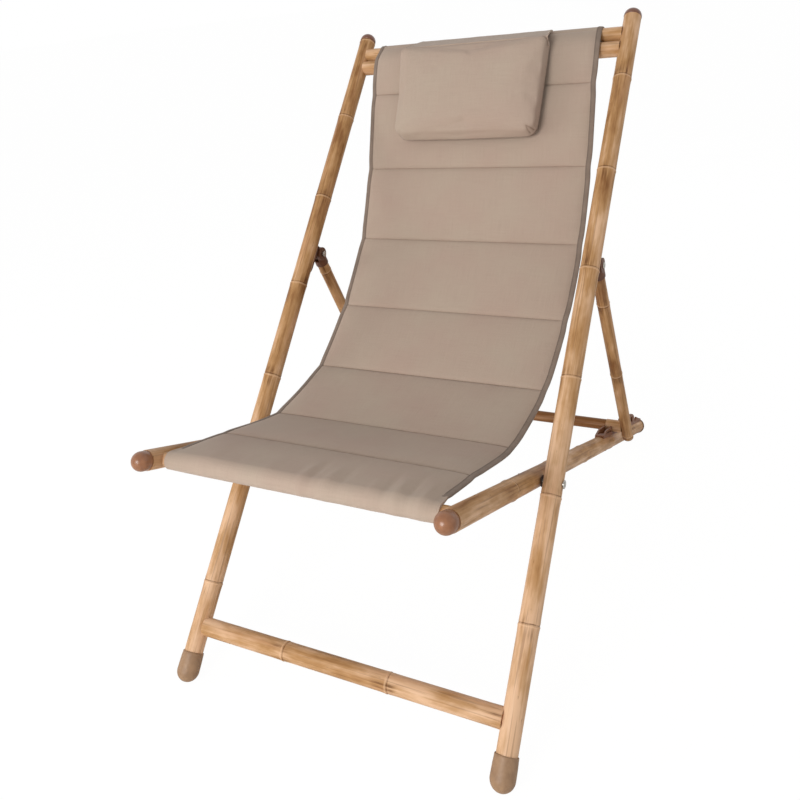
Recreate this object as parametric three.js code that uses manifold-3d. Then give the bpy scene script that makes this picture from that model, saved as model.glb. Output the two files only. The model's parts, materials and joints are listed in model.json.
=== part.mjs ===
// Folding bamboo recliner: two leaning outer poles, a seat frame that pivots between them,
// a prop frame hinged behind them whose bar lies in a toothed rack, and a quilted sling.
// Millimetres, +Z up, the floor at z = 0. The front faces -Y; right is +X, as seen from there.
import * as THREE from 'three';
import { mergeVertices } from 'three/addons/utils/BufferGeometryUtils.js';
import Module from 'manifold-3d';

const wasm = await Module();
wasm.setup();

// Fits and facets
const seatGap = 0.3;
const runningGap = 0.3;
const cutOverrun = 2;
const tubeSides = 16;
const capRings = 3;
const fastenerSides = 10;
const washerSides = 14;

// Main frame
const overallWidth = 600;
const poleDiameter = 33;
const poleReach = 1304;
const poleLean = 46.35;
const pivotAlong = 435.4;
const stretcherAlong = 97.9;
const stretcherDiameter = 34;
const topBarDiameter = 24.5;
const topBarAlong = 1265.4;
const topBarSpacing = 32;

// Cane knuckles
const knucklePitch = 190;
const knuckleRise = 0.8;
const knuckleHalfLength = 6;
const rightPoleFirstKnuckle = 226.4;
const leftPoleFirstKnuckle = 169.4;
const rightRailFirstKnuckle = -102;
const leftRailFirstKnuckle = -160;
const rightLegFirstKnuckle = 92;
const leftLegFirstKnuckle = 46;
const stretcherFirstKnuckle = -104;
const upperBarFirstKnuckle = -58;
const lowerBarFirstKnuckle = 40;
const propBarFirstKnuckle = -40;

// Caps, plugs and boots
const plugDiameter = 19;
const plugDepth = 22;
const capRimLength = 2.5;
const poleCapDiameter = 32.6;
const ballCapDiameter = 31.6;
const ballSkirtLength = 10;
const rearCapDiameter = 34.4;
const soleDepth = 0.8;
const bootDiameter = 37;
const bootRimDiameter = 35.4;
const bootLength = 30;

// Seat frame
const railDiameter = 33;
const railFront = 307;
const railBehindRack = 2.3;
const frontBarAlong = 279;
const frontBarDiameter = 22;

// Pivot bolts
const pivotBoltDiameter = 8;
const pivotHeadDiameter = 15;
const pivotHeadHeight = 3;
const pivotWasherDiameter = 22;
const pivotWasherThickness = 1;
const pivotNutWidth = 13;
const pivotNutHeight = 6;

// Prop frame
const hingeAlong = 815;
const hingeBoltDiameter = 6;
const hingeHeadDiameter = 11;
const hingeHeadHeight = 3;
const hingeNutWidth = 10;
const hingeNutHeight = 5;
const forkDiameter = 26;
const forkWidth = 25;
const lugThickness = 8;
const legDiameter = 24.3;
const legStart = 27;
const legOverhang = 34;
const legPlugDiameter = 13;
const legPlugDepth = 26;
const propBarDiameter = 20.2;
const sleeveDiameter = 24.5;
const sleeveLength = 42;

// Hinge bracket
const bracketPlate = 2.5;
const bracketWidth = 22;
const bracketFoot = 52;
const bracketHead = 14;
const bracketScrewFirst = 24;
const bracketScrewSecond = 42;

// Toothed rack
const notchAlong = 485.7;
const notchPitch = 104;
const notchGap = 0.55;
const rackFloor = 2;
const rackWidth = 18;
const rackFlange = 4;
const rackFront = 77.7;
const rackFrontRamp = 24;
const rackTail = 61;
const frontToothHeight = 16.5;
const firstToothHeight = 14.5;
const firstToothLip = 8;
const secondToothHeight = 28.5;
const secondToothSlope = 27;
const tailToothHeight = 7.5;
const tailToothLength = 28;
const rackWindowWall = 3.4;
const rackScrewFront = 30;
const rackScrewSetBack = 22;

// Screws and dowels
const screwDiameter = 4;
const screwHeadDiameter = 8;
const screwHeadHeight = 2;
const bracketScrewLength = 14;
const rackScrewGrip = 9;
const spotFaceDepth = 0.9;
const dowelDiameter = 10;
const dowelLength = 44;
const dowelInHost = 7;
const tenonDiameter = 9;
const tenonInHost = 5;

// Sling
const slingTopClearance = 36;
const slingBackClearance = 32;
const slingFrontClearance = 6.4;
const backPlaceShare = 0.35;
const frontPlaceShare = 0.85;
const slingEdgeThickness = 4;
const slingSeamThickness = 4;
const channelCrown = 7;
const channelBackCrown = 3;
const bindingWidth = 12;
const bindingThickness = 4.6;
const topLoopWall = 4;
const frontLoopWall = 2.6;
// Seams between the channels, from the top: share of the way from top bar to front bar,
// and the sag behind that straight line as a share of its length.
const seamAlongShares = [0.0992, 0.224, 0.3553, 0.5058, 0.6553, 0.8041, 0.9099];
const seamSagShares = [0.031, 0.1287, 0.2064, 0.246, 0.25, 0.186, 0.075];
const channelSteps = 6;
const acrossShares = [0, 0.3, 0.62, 0.88, 1];

// Headrest
const headrestWidth = 312;
const headrestHeight = 186;
const headrestThickness = 42;
const headrestCrown = 8;
const headrestCorner = 20;
const headrestDrop = 9;
const headrestStandOff = 1;
const flapThickness = 3;
const flapBackDrop = 120;

// Finishes
const finish = (color, roughness, metalness = 0) => () =>
  new THREE.MeshStandardMaterial({ color, roughness, metalness });
const cane = finish(0xc19b6c, 0.45);
const rubber = finish(0x8a6648, 0.7);
const capPlastic = finish(0x7a4a30, 0.4);
const ballPlastic = finish(0xa5704e, 0.2);
const bracketPlastic = finish(0x553122, 0.5);
const rackPlastic = finish(0x8b5e44, 0.5);
const steel = finish(0xb9b7b2, 0.3, 1);
const dowelWood = finish(0xb98c5a, 0.7);
const quiltedCloth = finish(0xae9c8c, 0.9);
const bindingCloth = finish(0x756759, 0.95);

// Places that follow from the sizes above
const lean = THREE.MathUtils.degToRad(poleLean);
const poleRadius = poleDiameter / 2;
const railRadius = railDiameter / 2;
const legRadius = legDiameter / 2;
const poleX = (overallWidth - poleDiameter) / 2;
const railX = poleX - poleRadius - railRadius - pivotWasherThickness - 2 * seatGap;
const rackEnd = notchAlong + 2 * notchPitch + rackTail;
const railRear = rackEnd + railBehindRack;
const rearCapRadius = rearCapDiameter / 2;
const rearCapAlong = railRear + capRimLength;
const pivotHeight = pivotAlong * Math.sin(lean);
const railSlope = Math.asin((pivotHeight - rearCapRadius + soleDepth) / rearCapAlong);
const bootRadius = bootDiameter / 2;
const bootCentre = (bootRadius - soleDepth) / Math.sin(lean);
const forkRadius = forkDiameter / 2;
const hingeOffset = poleRadius + bracketPlate + 2 * seatGap + forkRadius;
const barHeight = railRadius + rackFloor + notchGap + sleeveDiameter / 2;

// Groups: in each, +Y runs along the tubes and +Z is square to them, towards the sitter
const recliner = new THREE.Group();

function frameGroup(y, z, tilt) {
  const group = new THREE.Group();
  group.position.set(0, y, z);
  group.rotation.x = tilt;
  group.updateMatrix();
  recliner.add(group);
  return group;
}

const mainFrame = frameGroup(0, 0, lean);
const pivotPlace = new THREE.Vector3(0, pivotAlong, 0).applyMatrix4(mainFrame.matrix);
const seatFrame = frameGroup(pivotPlace.y, pivotPlace.z, -railSlope);
const hingePlace = new THREE.Vector3(0, hingeAlong, -hingeOffset).applyMatrix4(mainFrame.matrix);
const barPlace = new THREE.Vector3(0, notchAlong, barHeight).applyMatrix4(seatFrame.matrix);
const legToBar = hingePlace.distanceTo(barPlace);
const legTilt = Math.atan2(barPlace.z - hingePlace.z, barPlace.y - hingePlace.y);
const propFrame = frameGroup(hingePlace.y, hingePlace.z, legTilt);
const clothFrame = frameGroup(0, 0, 0);

// Solids
function bare(geometry) {
  const copy = geometry.clone();
  copy.deleteAttribute('normal');
  copy.deleteAttribute('uv');
  return mergeVertices(copy, 1e-4);
}

function solid(geometry) {
  const merged = bare(geometry);
  const corners = merged.index.array;
  const faces = [];
  for (let i = 0; i < corners.length; i += 3) {
    const [a, b, c] = [corners[i], corners[i + 1], corners[i + 2]];
    if (a !== b && b !== c && c !== a) faces.push(a, b, c);
  }
  return new wasm.Manifold(new wasm.Mesh({
    numProp: 3,
    vertProperties: new Float32Array(merged.attributes.position.array),
    triVerts: new Uint32Array(faces),
  }));
}

function add(group, name, body, finishOf, x = 0) {
  const surface = body.getMesh();
  const geometry = new THREE.BufferGeometry();
  geometry.setAttribute('position', new THREE.BufferAttribute(surface.vertProperties, 3));
  geometry.setIndex(new THREE.BufferAttribute(surface.triVerts, 1));
  geometry.computeVertexNormals();
  const mesh = new THREE.Mesh(geometry, finishOf());
  mesh.name = name;
  mesh.position.x = x;
  group.add(mesh);
}

// A body of revolution about Y from [radius, y] corners that start and end on the axis
function turned(corners, sides) {
  const points = corners.map(([radius, y]) => new THREE.Vector2(radius, y));
  return solid(new THREE.LatheGeometry(points, sides));
}

// The same profile about the X axis
function turnedAcross(corners, sides) {
  const points = corners.map(([radius, y]) => new THREE.Vector2(radius, y));
  return solid(new THREE.LatheGeometry(points, sides).rotateZ(-Math.PI / 2));
}

// The same profile about the Z axis
function turnedUpright(corners, sides) {
  const points = corners.map(([radius, y]) => new THREE.Vector2(radius, y));
  return solid(new THREE.LatheGeometry(points, sides).rotateX(Math.PI / 2));
}

const rod = (radius, start, end) => [[0, start], [radius, start], [radius, end], [0, end]];

function block(width, depth, height, x, y, z) {
  return solid(new THREE.BoxGeometry(width, depth, height).translate(x, y, z));
}

// A shape drawn in the (y, z) plane, given thickness along X and centred on x = 0
function plateAcross(shape, width) {
  const settings = { depth: width, bevelEnabled: false, curveSegments: 6 };
  const geometry = new THREE.ExtrudeGeometry(shape, settings);
  geometry.translate(0, 0, -width / 2);
  geometry.applyMatrix4(new THREE.Matrix4().makeBasis(
    new THREE.Vector3(0, 1, 0),
    new THREE.Vector3(0, 0, 1),
    new THREE.Vector3(1, 0, 0),
  ));
  return solid(geometry);
}

// Quarter of a dome's profile, from its edge to its top on the axis
function domeProfile(radius, base, direction, rings) {
  return Array.from({ length: rings + 1 }, (_, i) => {
    const turn = (i / rings) * (Math.PI / 2);
    return [i === rings ? 0 : radius * Math.cos(turn), base + direction * radius * Math.sin(turn)];
  });
}

// Everything below the floor, seen from a tilted frame
function belowFloor(group) {
  const size = poleReach * 2;
  const geometry = new THREE.BoxGeometry(size, size, size).translate(0, 0, -size / 2);
  return solid(geometry.applyMatrix4(group.matrix.clone().invert()));
}

// Skin over a row of closed rings with as many points each, with flat ends
function lofted(rings) {
  const count = rings[0].length;
  const points = rings.flat();
  const faces = [];
  for (let r = 0; r + 1 < rings.length; r += 1) {
    for (let i = 0; i < count; i += 1) {
      const a = r * count + i;
      const b = r * count + ((i + 1) % count);
      faces.push(a, b, a + count, b, b + count, a + count);
    }
  }
  const centre = (ring) => ring.reduce((sum, p) => sum.add(p), new THREE.Vector3())
    .divideScalar(count);
  const last = (rings.length - 1) * count;
  points.push(centre(rings[0]), centre(rings[rings.length - 1]));
  for (let i = 0; i < count; i += 1) {
    const next = (i + 1) % count;
    faces.push(points.length - 2, next, i);
    faces.push(points.length - 1, last + i, last + next);
  }
  const geometry = new THREE.BufferGeometry().setFromPoints(points);
  geometry.setIndex(faces);
  return solid(geometry);
}

// Cane
function knucklesWithin(first, start, end) {
  const count = Math.floor((end - first) / knucklePitch) + 1;
  const places = Array.from({ length: count }, (_, i) => first + i * knucklePitch);
  return places.filter((y) => y > start + knuckleHalfLength && y < end - knuckleHalfLength);
}

function canePoints(radius, start, end, first) {
  const points = [[radius, start]];
  for (const y of knucklesWithin(first, start, end)) {
    points.push([radius, y - knuckleHalfLength]);
    points.push([radius + knuckleRise, y]);
    points.push([radius, y + knuckleHalfLength]);
  }
  points.push([radius, end]);
  return points;
}

// A cane with a blind bore of the given radius and depth in each end
function caneTube(radius, start, end, first, bore, depth) {
  return turned([
    [0, start + depth],
    [bore, start + depth],
    [bore, start],
    ...canePoints(radius, start, end, first),
    [bore, end],
    [bore, end - depth],
    [0, end - depth],
  ], tubeSides);
}

// The room that a cane takes, with the seat gap round it
function caneRoom(radius, start, end, first) {
  return turned([
    [0, start],
    ...canePoints(radius + seatGap, start, end, first),
    [0, end],
  ], tubeSides);
}

// How far inside the axis of its host a saddle-cut bar ends
function saddleReach(hostRadius, barRadius) {
  const hostCut = hostRadius + seatGap;
  const widestShare = 0.85;
  return Math.sqrt(hostCut ** 2 - Math.min(barRadius, widestShare * hostCut) ** 2);
}

// A cross bar between two hosts along the frame's Y, saddle-cut and bored for its dowels
function saddleCut(bar, hostX, hostRadius) {
  const reach = hostRadius * 2;
  const host = turned(rod(hostRadius + seatGap, -reach, reach), tubeSides);
  return bar.subtract(host.translate([hostX, 0, 0])).subtract(host.translate([-hostX, 0, 0]));
}

function doweledBar(radius, hostX, hostRadius, first) {
  const end = hostX - saddleReach(hostRadius, radius);
  const boreDepth = end - (hostX + dowelInHost - dowelLength) + seatGap;
  const bore = dowelDiameter / 2 + seatGap;
  const bar = turned([
    [0, boreDepth - end],
    [bore, boreDepth - end],
    [bore, -end],
    ...canePoints(radius, -end, end, first),
    [bore, end],
    [bore, end - boreDepth],
    [0, end - boreDepth],
  ], tubeSides).rotate([0, 0, -90]);
  return saddleCut(bar, hostX, hostRadius);
}

// A saddle-cut bar whose ends are turned down to tenons
function tenonedBar(radius, hostX, hostRadius, barPoints) {
  const end = hostX - saddleReach(hostRadius, radius);
  const tenonEnd = hostX + tenonInHost;
  const bar = turned([[0, -end], ...barPoints(radius, -end, end), [0, end]], tubeSides);
  const tenons = turned(rod(tenonDiameter / 2, -tenonEnd, tenonEnd), fastenerSides);
  return saddleCut(bar.rotate([0, 0, -90]), hostX, hostRadius).add(tenons.rotate([0, 0, -90]));
}

// The blind hole in a host for a cross bar's dowel or tenon, entering from the inner side
function pinHole(side, along, diameter, depth, hostRadius) {
  const hole = turnedAcross(
    rod(diameter / 2 + seatGap, -hostRadius - cutOverrun, depth + seatGap), fastenerSides);
  return hole.rotate([0, 0, side > 0 ? 0 : 180]).translate([0, along, 0]);
}

function addDowels(group, label, hostX, along) {
  for (const [side, sideName] of sides) {
    const pin = turnedAcross(
      rod(dowelDiameter / 2, dowelInHost - dowelLength, dowelInHost), fastenerSides);
    const placed = pin.rotate([0, 0, side > 0 ? 0 : 180]).translate([0, along, 0]);
    add(group, `${label}_dowel_${sideName}`, placed, dowelWood, side * hostX);
  }
}

const sides = [[1, 'right'], [-1, 'left']];
const plugBore = plugDiameter / 2 + seatGap;
const plugBoreDepth = plugDepth + seatGap;
const lowerBarAlong = topBarAlong - topBarSpacing;
const poleStart = bootCentre + seatGap;
const poleEnd = poleReach - capRimLength;

// Poles
function mainPole(side, first) {
  let pole = caneTube(poleRadius, poleStart, poleEnd, first, plugBore, plugBoreDepth);
  const boltHole = turnedAcross(
    rod(pivotBoltDiameter / 2 + seatGap, -poleDiameter, poleDiameter), fastenerSides);
  pole = pole.subtract(boltHole.translate([0, pivotAlong, 0]));
  for (const along of [stretcherAlong, topBarAlong, lowerBarAlong]) {
    pole = pole.subtract(pinHole(side, along, dowelDiameter, dowelInHost, poleRadius));
  }
  for (const drop of [bracketScrewFirst, bracketScrewSecond]) {
    const hole = turnedUpright(
      rod(screwDiameter / 2 + seatGap, -poleRadius - cutOverrun, bracketScrewLength - poleRadius),
      fastenerSides);
    pole = pole.subtract(hole.translate([0, hingeAlong - drop, 0]));
  }
  return pole;
}

function domedCap(radius, base, direction, rim, floorCut) {
  const inner = base - direction * plugDepth;
  const seat = base + direction * seatGap;
  const profile = [
    [0, inner],
    [plugDiameter / 2, inner],
    [plugDiameter / 2, seat],
    [radius, seat],
    ...domeProfile(radius, base + direction * rim, direction, capRings),
  ];
  const cap = turned(direction > 0 ? profile : profile.reverse(), tubeSides);
  return floorCut ? cap.subtract(floorCut) : cap;
}

function footBoot() {
  const rimRadius = bootRimDiameter / 2;
  const rim = bootCentre + bootLength;
  const inner = poleRadius + seatGap;
  const dome = domeProfile(bootRadius, bootCentre, -1, capRings + 1).reverse();
  return turned([
    ...dome,
    [rimRadius, rim - cutOverrun],
    [rimRadius - (rimRadius - inner) / 2, rim],
    [inner, rim],
    [inner, bootCentre],
    [0, bootCentre],
  ], tubeSides).subtract(belowFloor(mainFrame));
}

for (const [side, sideName] of sides) {
  const first = side > 0 ? rightPoleFirstKnuckle : leftPoleFirstKnuckle;
  add(mainFrame, `main_pole_${sideName}`, mainPole(side, first), cane, side * poleX);
  add(mainFrame, `pole_top_cap_${sideName}`,
    domedCap(poleCapDiameter / 2, poleEnd, 1, capRimLength), capPlastic, side * poleX);
  add(mainFrame, `foot_boot_${sideName}`, footBoot(), rubber, side * poleX);
}

// Stretcher and top bars
const poleBars = [
  ['lower_stretcher', stretcherDiameter, stretcherAlong, stretcherFirstKnuckle],
  ['top_bar_upper', topBarDiameter, topBarAlong, upperBarFirstKnuckle],
  ['top_bar_lower', topBarDiameter, lowerBarAlong, lowerBarFirstKnuckle],
];
for (const [name, diameter, along, first] of poleBars) {
  const bar = doweledBar(diameter / 2, poleX, poleRadius, first);
  add(mainFrame, name, bar.translate([0, along, 0]), cane);
  addDowels(mainFrame, name, poleX, along);
}

// Hinge brackets: a plate on the rear of the pole and a lug that the forked socket straddles
function hingeBracket(first) {
  const plateRadius = poleRadius + seatGap + bracketPlate;
  const length = bracketFoot + bracketHead;
  const plate = turned(rod(plateRadius, -bracketFoot, bracketHead), tubeSides)
    .intersect(block(bracketWidth, length * 2, plateRadius, 0, 0, -plateRadius));
  const lugRadius = forkRadius - 2 * seatGap;
  const lugSide = new THREE.Shape();
  lugSide.moveTo(-lugRadius - bracketPlate, -poleRadius);
  lugSide.lineTo(-lugRadius, -hingeOffset);
  lugSide.absarc(0, -hingeOffset, lugRadius, Math.PI, Math.PI * 2, false);
  lugSide.lineTo(lugRadius, -poleRadius);
  lugSide.closePath();
  const boltHole = turnedAcross(
    rod(hingeBoltDiameter / 2 + seatGap, -forkWidth, forkWidth), fastenerSides);
  const screwHole = turnedUpright(
    rod(screwDiameter / 2 + seatGap, -poleDiameter, 0), fastenerSides);
  return plate.add(plateAcross(lugSide, lugThickness))
    .subtract(boltHole.translate([0, 0, -hingeOffset]))
    .subtract(screwHole.translate([0, -bracketScrewFirst, 0]))
    .subtract(screwHole.translate([0, -bracketScrewSecond, 0]))
    .translate([0, hingeAlong, 0])
    .subtract(caneRoom(poleRadius, poleStart, poleEnd, first));
}

function bracketScrew() {
  const face = -poleRadius - bracketPlate - 2 * seatGap;
  return turnedUpright([
    [0, face - screwHeadHeight],
    [screwHeadDiameter / 2 - screwHeadHeight / 2, face - screwHeadHeight],
    [screwHeadDiameter / 2, face - screwHeadHeight / 2],
    [screwHeadDiameter / 2, face],
    [screwDiameter / 2, face],
    [screwDiameter / 2, bracketScrewLength - poleRadius - seatGap],
    [0, bracketScrewLength - poleRadius - seatGap],
  ], fastenerSides);
}

for (const [side, sideName] of sides) {
  const first = side > 0 ? rightPoleFirstKnuckle : leftPoleFirstKnuckle;
  add(mainFrame, `hinge_bracket_${sideName}`, hingeBracket(first), bracketPlastic, side * poleX);
  const screws = [['upper', bracketScrewFirst], ['lower', bracketScrewSecond]];
  for (const [place, drop] of screws) {
    const screw = bracketScrew().translate([0, hingeAlong - drop, 0]);
    add(mainFrame, `bracket_screw_${place}_${sideName}`, screw, steel, side * poleX);
  }
}

// A flat ring round a bolt that lies along X
function washerRing(shank, radius, start, end) {
  return turnedAcross(rod(radius, start, end), washerSides)
    .subtract(turnedAcross(rod(shank + seatGap, start - cutOverrun, end + cutOverrun),
      fastenerSides));
}

function hexNut(shank, width, start, end) {
  const hexSides = 6;
  return turnedAcross(rod(width / Math.sqrt(3), start, end), hexSides)
    .subtract(turnedAcross(rod(shank + seatGap, start - cutOverrun, end + cutOverrun),
      fastenerSides));
}

// Pivot bolts: domed head outside the pole, spacer washer between the tubes, nut inside
function addPivot(side, sideName) {
  const outer = poleRadius + seatGap;
  const inner = railX - poleX - railRadius - seatGap;
  const shank = pivotBoltDiameter / 2;
  const head = pivotHeadDiameter / 2;
  const bolt = turnedAcross([
    [0, inner - pivotNutHeight],
    [shank, inner - pivotNutHeight],
    [shank, outer],
    [head, outer],
    [head, outer + pivotHeadHeight / 3],
    [head / 2, outer + pivotHeadHeight],
    [0, outer + pivotHeadHeight],
  ], fastenerSides);
  const washerOuter = -poleRadius - seatGap;
  const washer = washerRing(shank, pivotWasherDiameter / 2, washerOuter - pivotWasherThickness,
    washerOuter);
  const nut = hexNut(shank, pivotNutWidth, inner - pivotNutHeight, inner);
  const pieces = [['bolt', bolt], ['washer', washer], ['nut', nut]];
  for (const [label, piece] of pieces) {
    const placed = piece.rotate([0, 0, side > 0 ? 0 : 180]).translate([0, pivotAlong, 0]);
    add(mainFrame, `pivot_${label}_${sideName}`, placed, steel, side * poleX);
  }
}

for (const [side, sideName] of sides) addPivot(side, sideName);

// Seat rails
function seatRail(side, first) {
  let rail = caneTube(railRadius, -railFront, railRear, first, plugBore, plugBoreDepth);
  rail = rail.subtract(turnedAcross(
    rod(pivotBoltDiameter / 2 + runningGap, -railDiameter, railDiameter), fastenerSides));
  rail = rail.subtract(pinHole(side, -frontBarAlong, tenonDiameter, tenonInHost, railRadius));
  for (const along of rackScrewPlaces) {
    const hole = turnedUpright(
      rod(screwDiameter / 2 + seatGap, -railDiameter, railDiameter), fastenerSides);
    const spotFace = turnedUpright(
      rod(screwHeadDiameter / 2 + seatGap, -railDiameter, spotFaceDepth - railRadius),
      fastenerSides);
    rail = rail.subtract(hole.add(spotFace).translate([0, along, 0]));
  }
  return rail;
}

// Rack: one long moulding with three notches, its foot saddling the rail
const rackStart = notchAlong - rackFront;
const rackScrewPlaces = [
  notchAlong - rackScrewFront,
  notchAlong + 2 * notchPitch - rackScrewSetBack,
];

function rackShape() {
  const notchRadius = sleeveDiameter / 2 + notchGap;
  const low = railRadius - rackFlange;
  const first = notchAlong;
  const second = notchAlong + notchPitch;
  const third = notchAlong + 2 * notchPitch;
  const floor = barHeight - notchRadius;
  const shape = new THREE.Shape();
  shape.moveTo(rackStart, low);
  shape.lineTo(rackStart, floor);
  shape.lineTo(rackStart + rackFrontRamp, railRadius + frontToothHeight - rackFloor);
  shape.lineTo(first - notchRadius - rackFloor, railRadius + frontToothHeight);
  shape.lineTo(first - notchRadius, barHeight);
  shape.absarc(first, barHeight, notchRadius, Math.PI, Math.PI * 1.5, false);
  shape.lineTo(first + notchRadius / 2, floor);
  shape.lineTo(second - notchRadius - firstToothLip, railRadius + firstToothHeight);
  shape.lineTo(second - notchRadius, barHeight);
  shape.absarc(second, barHeight, notchRadius, Math.PI, Math.PI * 2, false);
  shape.lineTo(second + notchRadius + rackFloor, railRadius + secondToothHeight / 2);
  shape.lineTo(third - notchRadius - secondToothSlope, railRadius + secondToothHeight);
  shape.lineTo(third - notchRadius, barHeight);
  shape.absarc(third, barHeight, notchRadius, Math.PI, Math.PI * 1.9, false);
  shape.lineTo(third + tailToothLength, railRadius + tailToothHeight);
  shape.lineTo(rackEnd, floor);
  shape.lineTo(rackEnd, low);
  shape.closePath();
  return shape;
}

// A four-cornered window through a tooth
function rackWindow(start, end, startTop, endTop) {
  const sill = barHeight - sleeveDiameter / 2 + rackWindowWall / 2;
  const hole = new THREE.Shape();
  hole.moveTo(start, sill);
  hole.lineTo(end, sill);
  hole.lineTo(end, endTop);
  hole.lineTo(start, startTop);
  hole.closePath();
  return plateAcross(hole, rackWidth * 2);
}

function rack(first) {
  const sill = barHeight - sleeveDiameter / 2 + rackWindowWall / 2;
  const frontTop = railRadius + frontToothHeight - rackWindowWall;
  const secondTop = railRadius + secondToothHeight - rackWindowWall;
  const second = notchAlong + notchPitch + sleeveDiameter / 2;
  const windowEnd = rackScrewPlaces[1] - screwHeadDiameter;
  let body = plateAcross(rackShape(), rackWidth)
    .subtract(caneRoom(railRadius, -railFront, railRear, first));
  body = body.subtract(rackWindow(rackStart + rackFrontRamp / 2, rackStart + rackFrontRamp,
    sill + rackFloor, frontTop - rackFloor));
  body = body.subtract(rackWindow(second + 2 * rackWindowWall, windowEnd,
    (sill + secondTop) / 2, secondTop - rackFloor));
  const top = railRadius + rackScrewGrip + seatGap;
  const hole = turnedUpright(rod(screwDiameter / 2 + seatGap, 0, top), fastenerSides);
  for (const along of rackScrewPlaces) body = body.subtract(hole.translate([0, along, 0]));
  return body;
}

function rackScrew(along) {
  const face = spotFaceDepth - railRadius - seatGap;
  return turnedUpright([
    [0, face - screwHeadHeight],
    [screwHeadDiameter / 2 - screwHeadHeight / 2, face - screwHeadHeight],
    [screwHeadDiameter / 2, face - screwHeadHeight / 2],
    [screwHeadDiameter / 2, face],
    [screwDiameter / 2, face],
    [screwDiameter / 2, railRadius + rackScrewGrip],
    [0, railRadius + rackScrewGrip],
  ], fastenerSides).translate([0, along, 0]);
}

for (const [side, sideName] of sides) {
  const first = side > 0 ? rightRailFirstKnuckle : leftRailFirstKnuckle;
  add(seatFrame, `seat_rail_${sideName}`, seatRail(side, first), cane, side * railX);
  add(seatFrame, `ball_cap_${sideName}`,
    domedCap(ballCapDiameter / 2, -railFront, -1, ballSkirtLength), ballPlastic, side * railX);
  add(seatFrame, `rear_cap_${sideName}`,
    domedCap(rearCapRadius, railRear, 1, capRimLength, belowFloor(seatFrame)), rubber,
    side * railX);
  add(seatFrame, `rack_${sideName}`, rack(first), rackPlastic, side * railX);
  rackScrewPlaces.forEach((along, i) => {
    const place = i === 0 ? 'front' : 'rear';
    add(seatFrame, `rack_screw_${place}_${sideName}`, rackScrew(along), steel, side * railX);
  });
}

// Front bar
const plainPoints = (radius, start, end) => [[radius, start], [radius, end]];
const frontBar = tenonedBar(frontBarDiameter / 2, railX, railRadius, plainPoints);
add(seatFrame, 'front_bar', frontBar.translate([0, -frontBarAlong, 0]), cane);

// Prop frame: the legs hang from forked sockets and carry the bar that lies in the racks
const legEnd = legToBar + legOverhang - capRimLength;
const legBore = legPlugDiameter / 2 + seatGap;
const legBoreDepth = legPlugDepth + seatGap;

function propLeg(side, first) {
  return caneTube(legRadius, legStart + seatGap, legEnd, first, legBore, legBoreDepth)
    .subtract(pinHole(side, legToBar, tenonDiameter, tenonInHost, legRadius));
}

function legSocket() {
  const length = legStart + legPlugDepth;
  const collar = turned([
    [0, 0],
    [forkRadius, 0],
    [forkRadius, legStart],
    [legPlugDiameter / 2, legStart],
    [legPlugDiameter / 2, length],
    [0, length],
  ], tubeSides).intersect(block(forkWidth, length * 2, forkDiameter * 2, 0, 0, 0));
  const slotEnd = forkRadius + seatGap;
  const slot = block(lugThickness + 2 * runningGap, slotEnd * 2, forkDiameter * 2, 0, 0, 0);
  const boltHole = turnedAcross(
    rod(hingeBoltDiameter / 2 + seatGap, -forkWidth, forkWidth), fastenerSides);
  return turnedAcross(rod(forkRadius, -forkWidth / 2, forkWidth / 2), tubeSides)
    .add(collar)
    .subtract(slot)
    .subtract(boltHole);
}

function addHingeBolt(side, sideName) {
  const outer = forkWidth / 2 + seatGap;
  const shank = hingeBoltDiameter / 2;
  const head = hingeHeadDiameter / 2;
  const bolt = turnedAcross([
    [0, -outer - hingeNutHeight],
    [shank, -outer - hingeNutHeight],
    [shank, outer],
    [head, outer],
    [head, outer + hingeHeadHeight / 3],
    [head / 2, outer + hingeHeadHeight],
    [0, outer + hingeHeadHeight],
  ], fastenerSides);
  const nut = hexNut(shank, hingeNutWidth, -outer - hingeNutHeight, -outer);
  const turn = [0, 0, side > 0 ? 0 : 180];
  add(propFrame, `hinge_bolt_${sideName}`, bolt.rotate(turn), steel, side * poleX);
  add(propFrame, `hinge_nut_${sideName}`, nut.rotate(turn), steel, side * poleX);
}

function legPlug() {
  const seat = legEnd + seatGap;
  const inner = legEnd - legPlugDepth;
  return turned([
    [0, inner],
    [legPlugDiameter / 2, inner],
    [legPlugDiameter / 2, seat],
    [legRadius, seat],
    [legRadius, legEnd + capRimLength / 2],
    [legRadius - capRimLength / 2, legEnd + capRimLength],
    [0, legEnd + capRimLength],
  ], tubeSides);
}

function barSleeve(side) {
  const start = poleX - legRadius - sleeveLength;
  const end = poleX - saddleReach(legRadius, sleeveDiameter / 2);
  const bore = propBarDiameter / 2 + seatGap;
  const sleeve = turnedAcross([
    [bore, start],
    [sleeveDiameter / 2, start],
    [sleeveDiameter / 2, end],
    [bore, end],
    [bore, start],
  ], tubeSides);
  const host = turned(rod(legRadius + seatGap, -forkDiameter, forkDiameter), tubeSides);
  return sleeve.subtract(host.translate([poleX, 0, 0]))
    .rotate([0, side > 0 ? 0 : 180, 0])
    .translate([0, legToBar, 0]);
}

for (const [side, sideName] of sides) {
  const first = side > 0 ? rightLegFirstKnuckle : leftLegFirstKnuckle;
  add(propFrame, `leg_socket_${sideName}`, legSocket(), bracketPlastic, side * poleX);
  addHingeBolt(side, sideName);
  add(propFrame, `prop_leg_${sideName}`, propLeg(side, first), cane, side * poleX);
  add(propFrame, `leg_plug_${sideName}`, legPlug(), capPlastic, side * poleX);
  add(propFrame, `bar_sleeve_${sideName}`, barSleeve(side), cane);
}
const propBarPoints = (radius, start, end) => canePoints(radius, start, end, propBarFirstKnuckle);
const propBar = tenonedBar(propBarDiameter / 2, poleX, legRadius, propBarPoints);
add(propFrame, 'prop_bar', propBar.translate([0, legToBar, 0]), cane);

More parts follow.
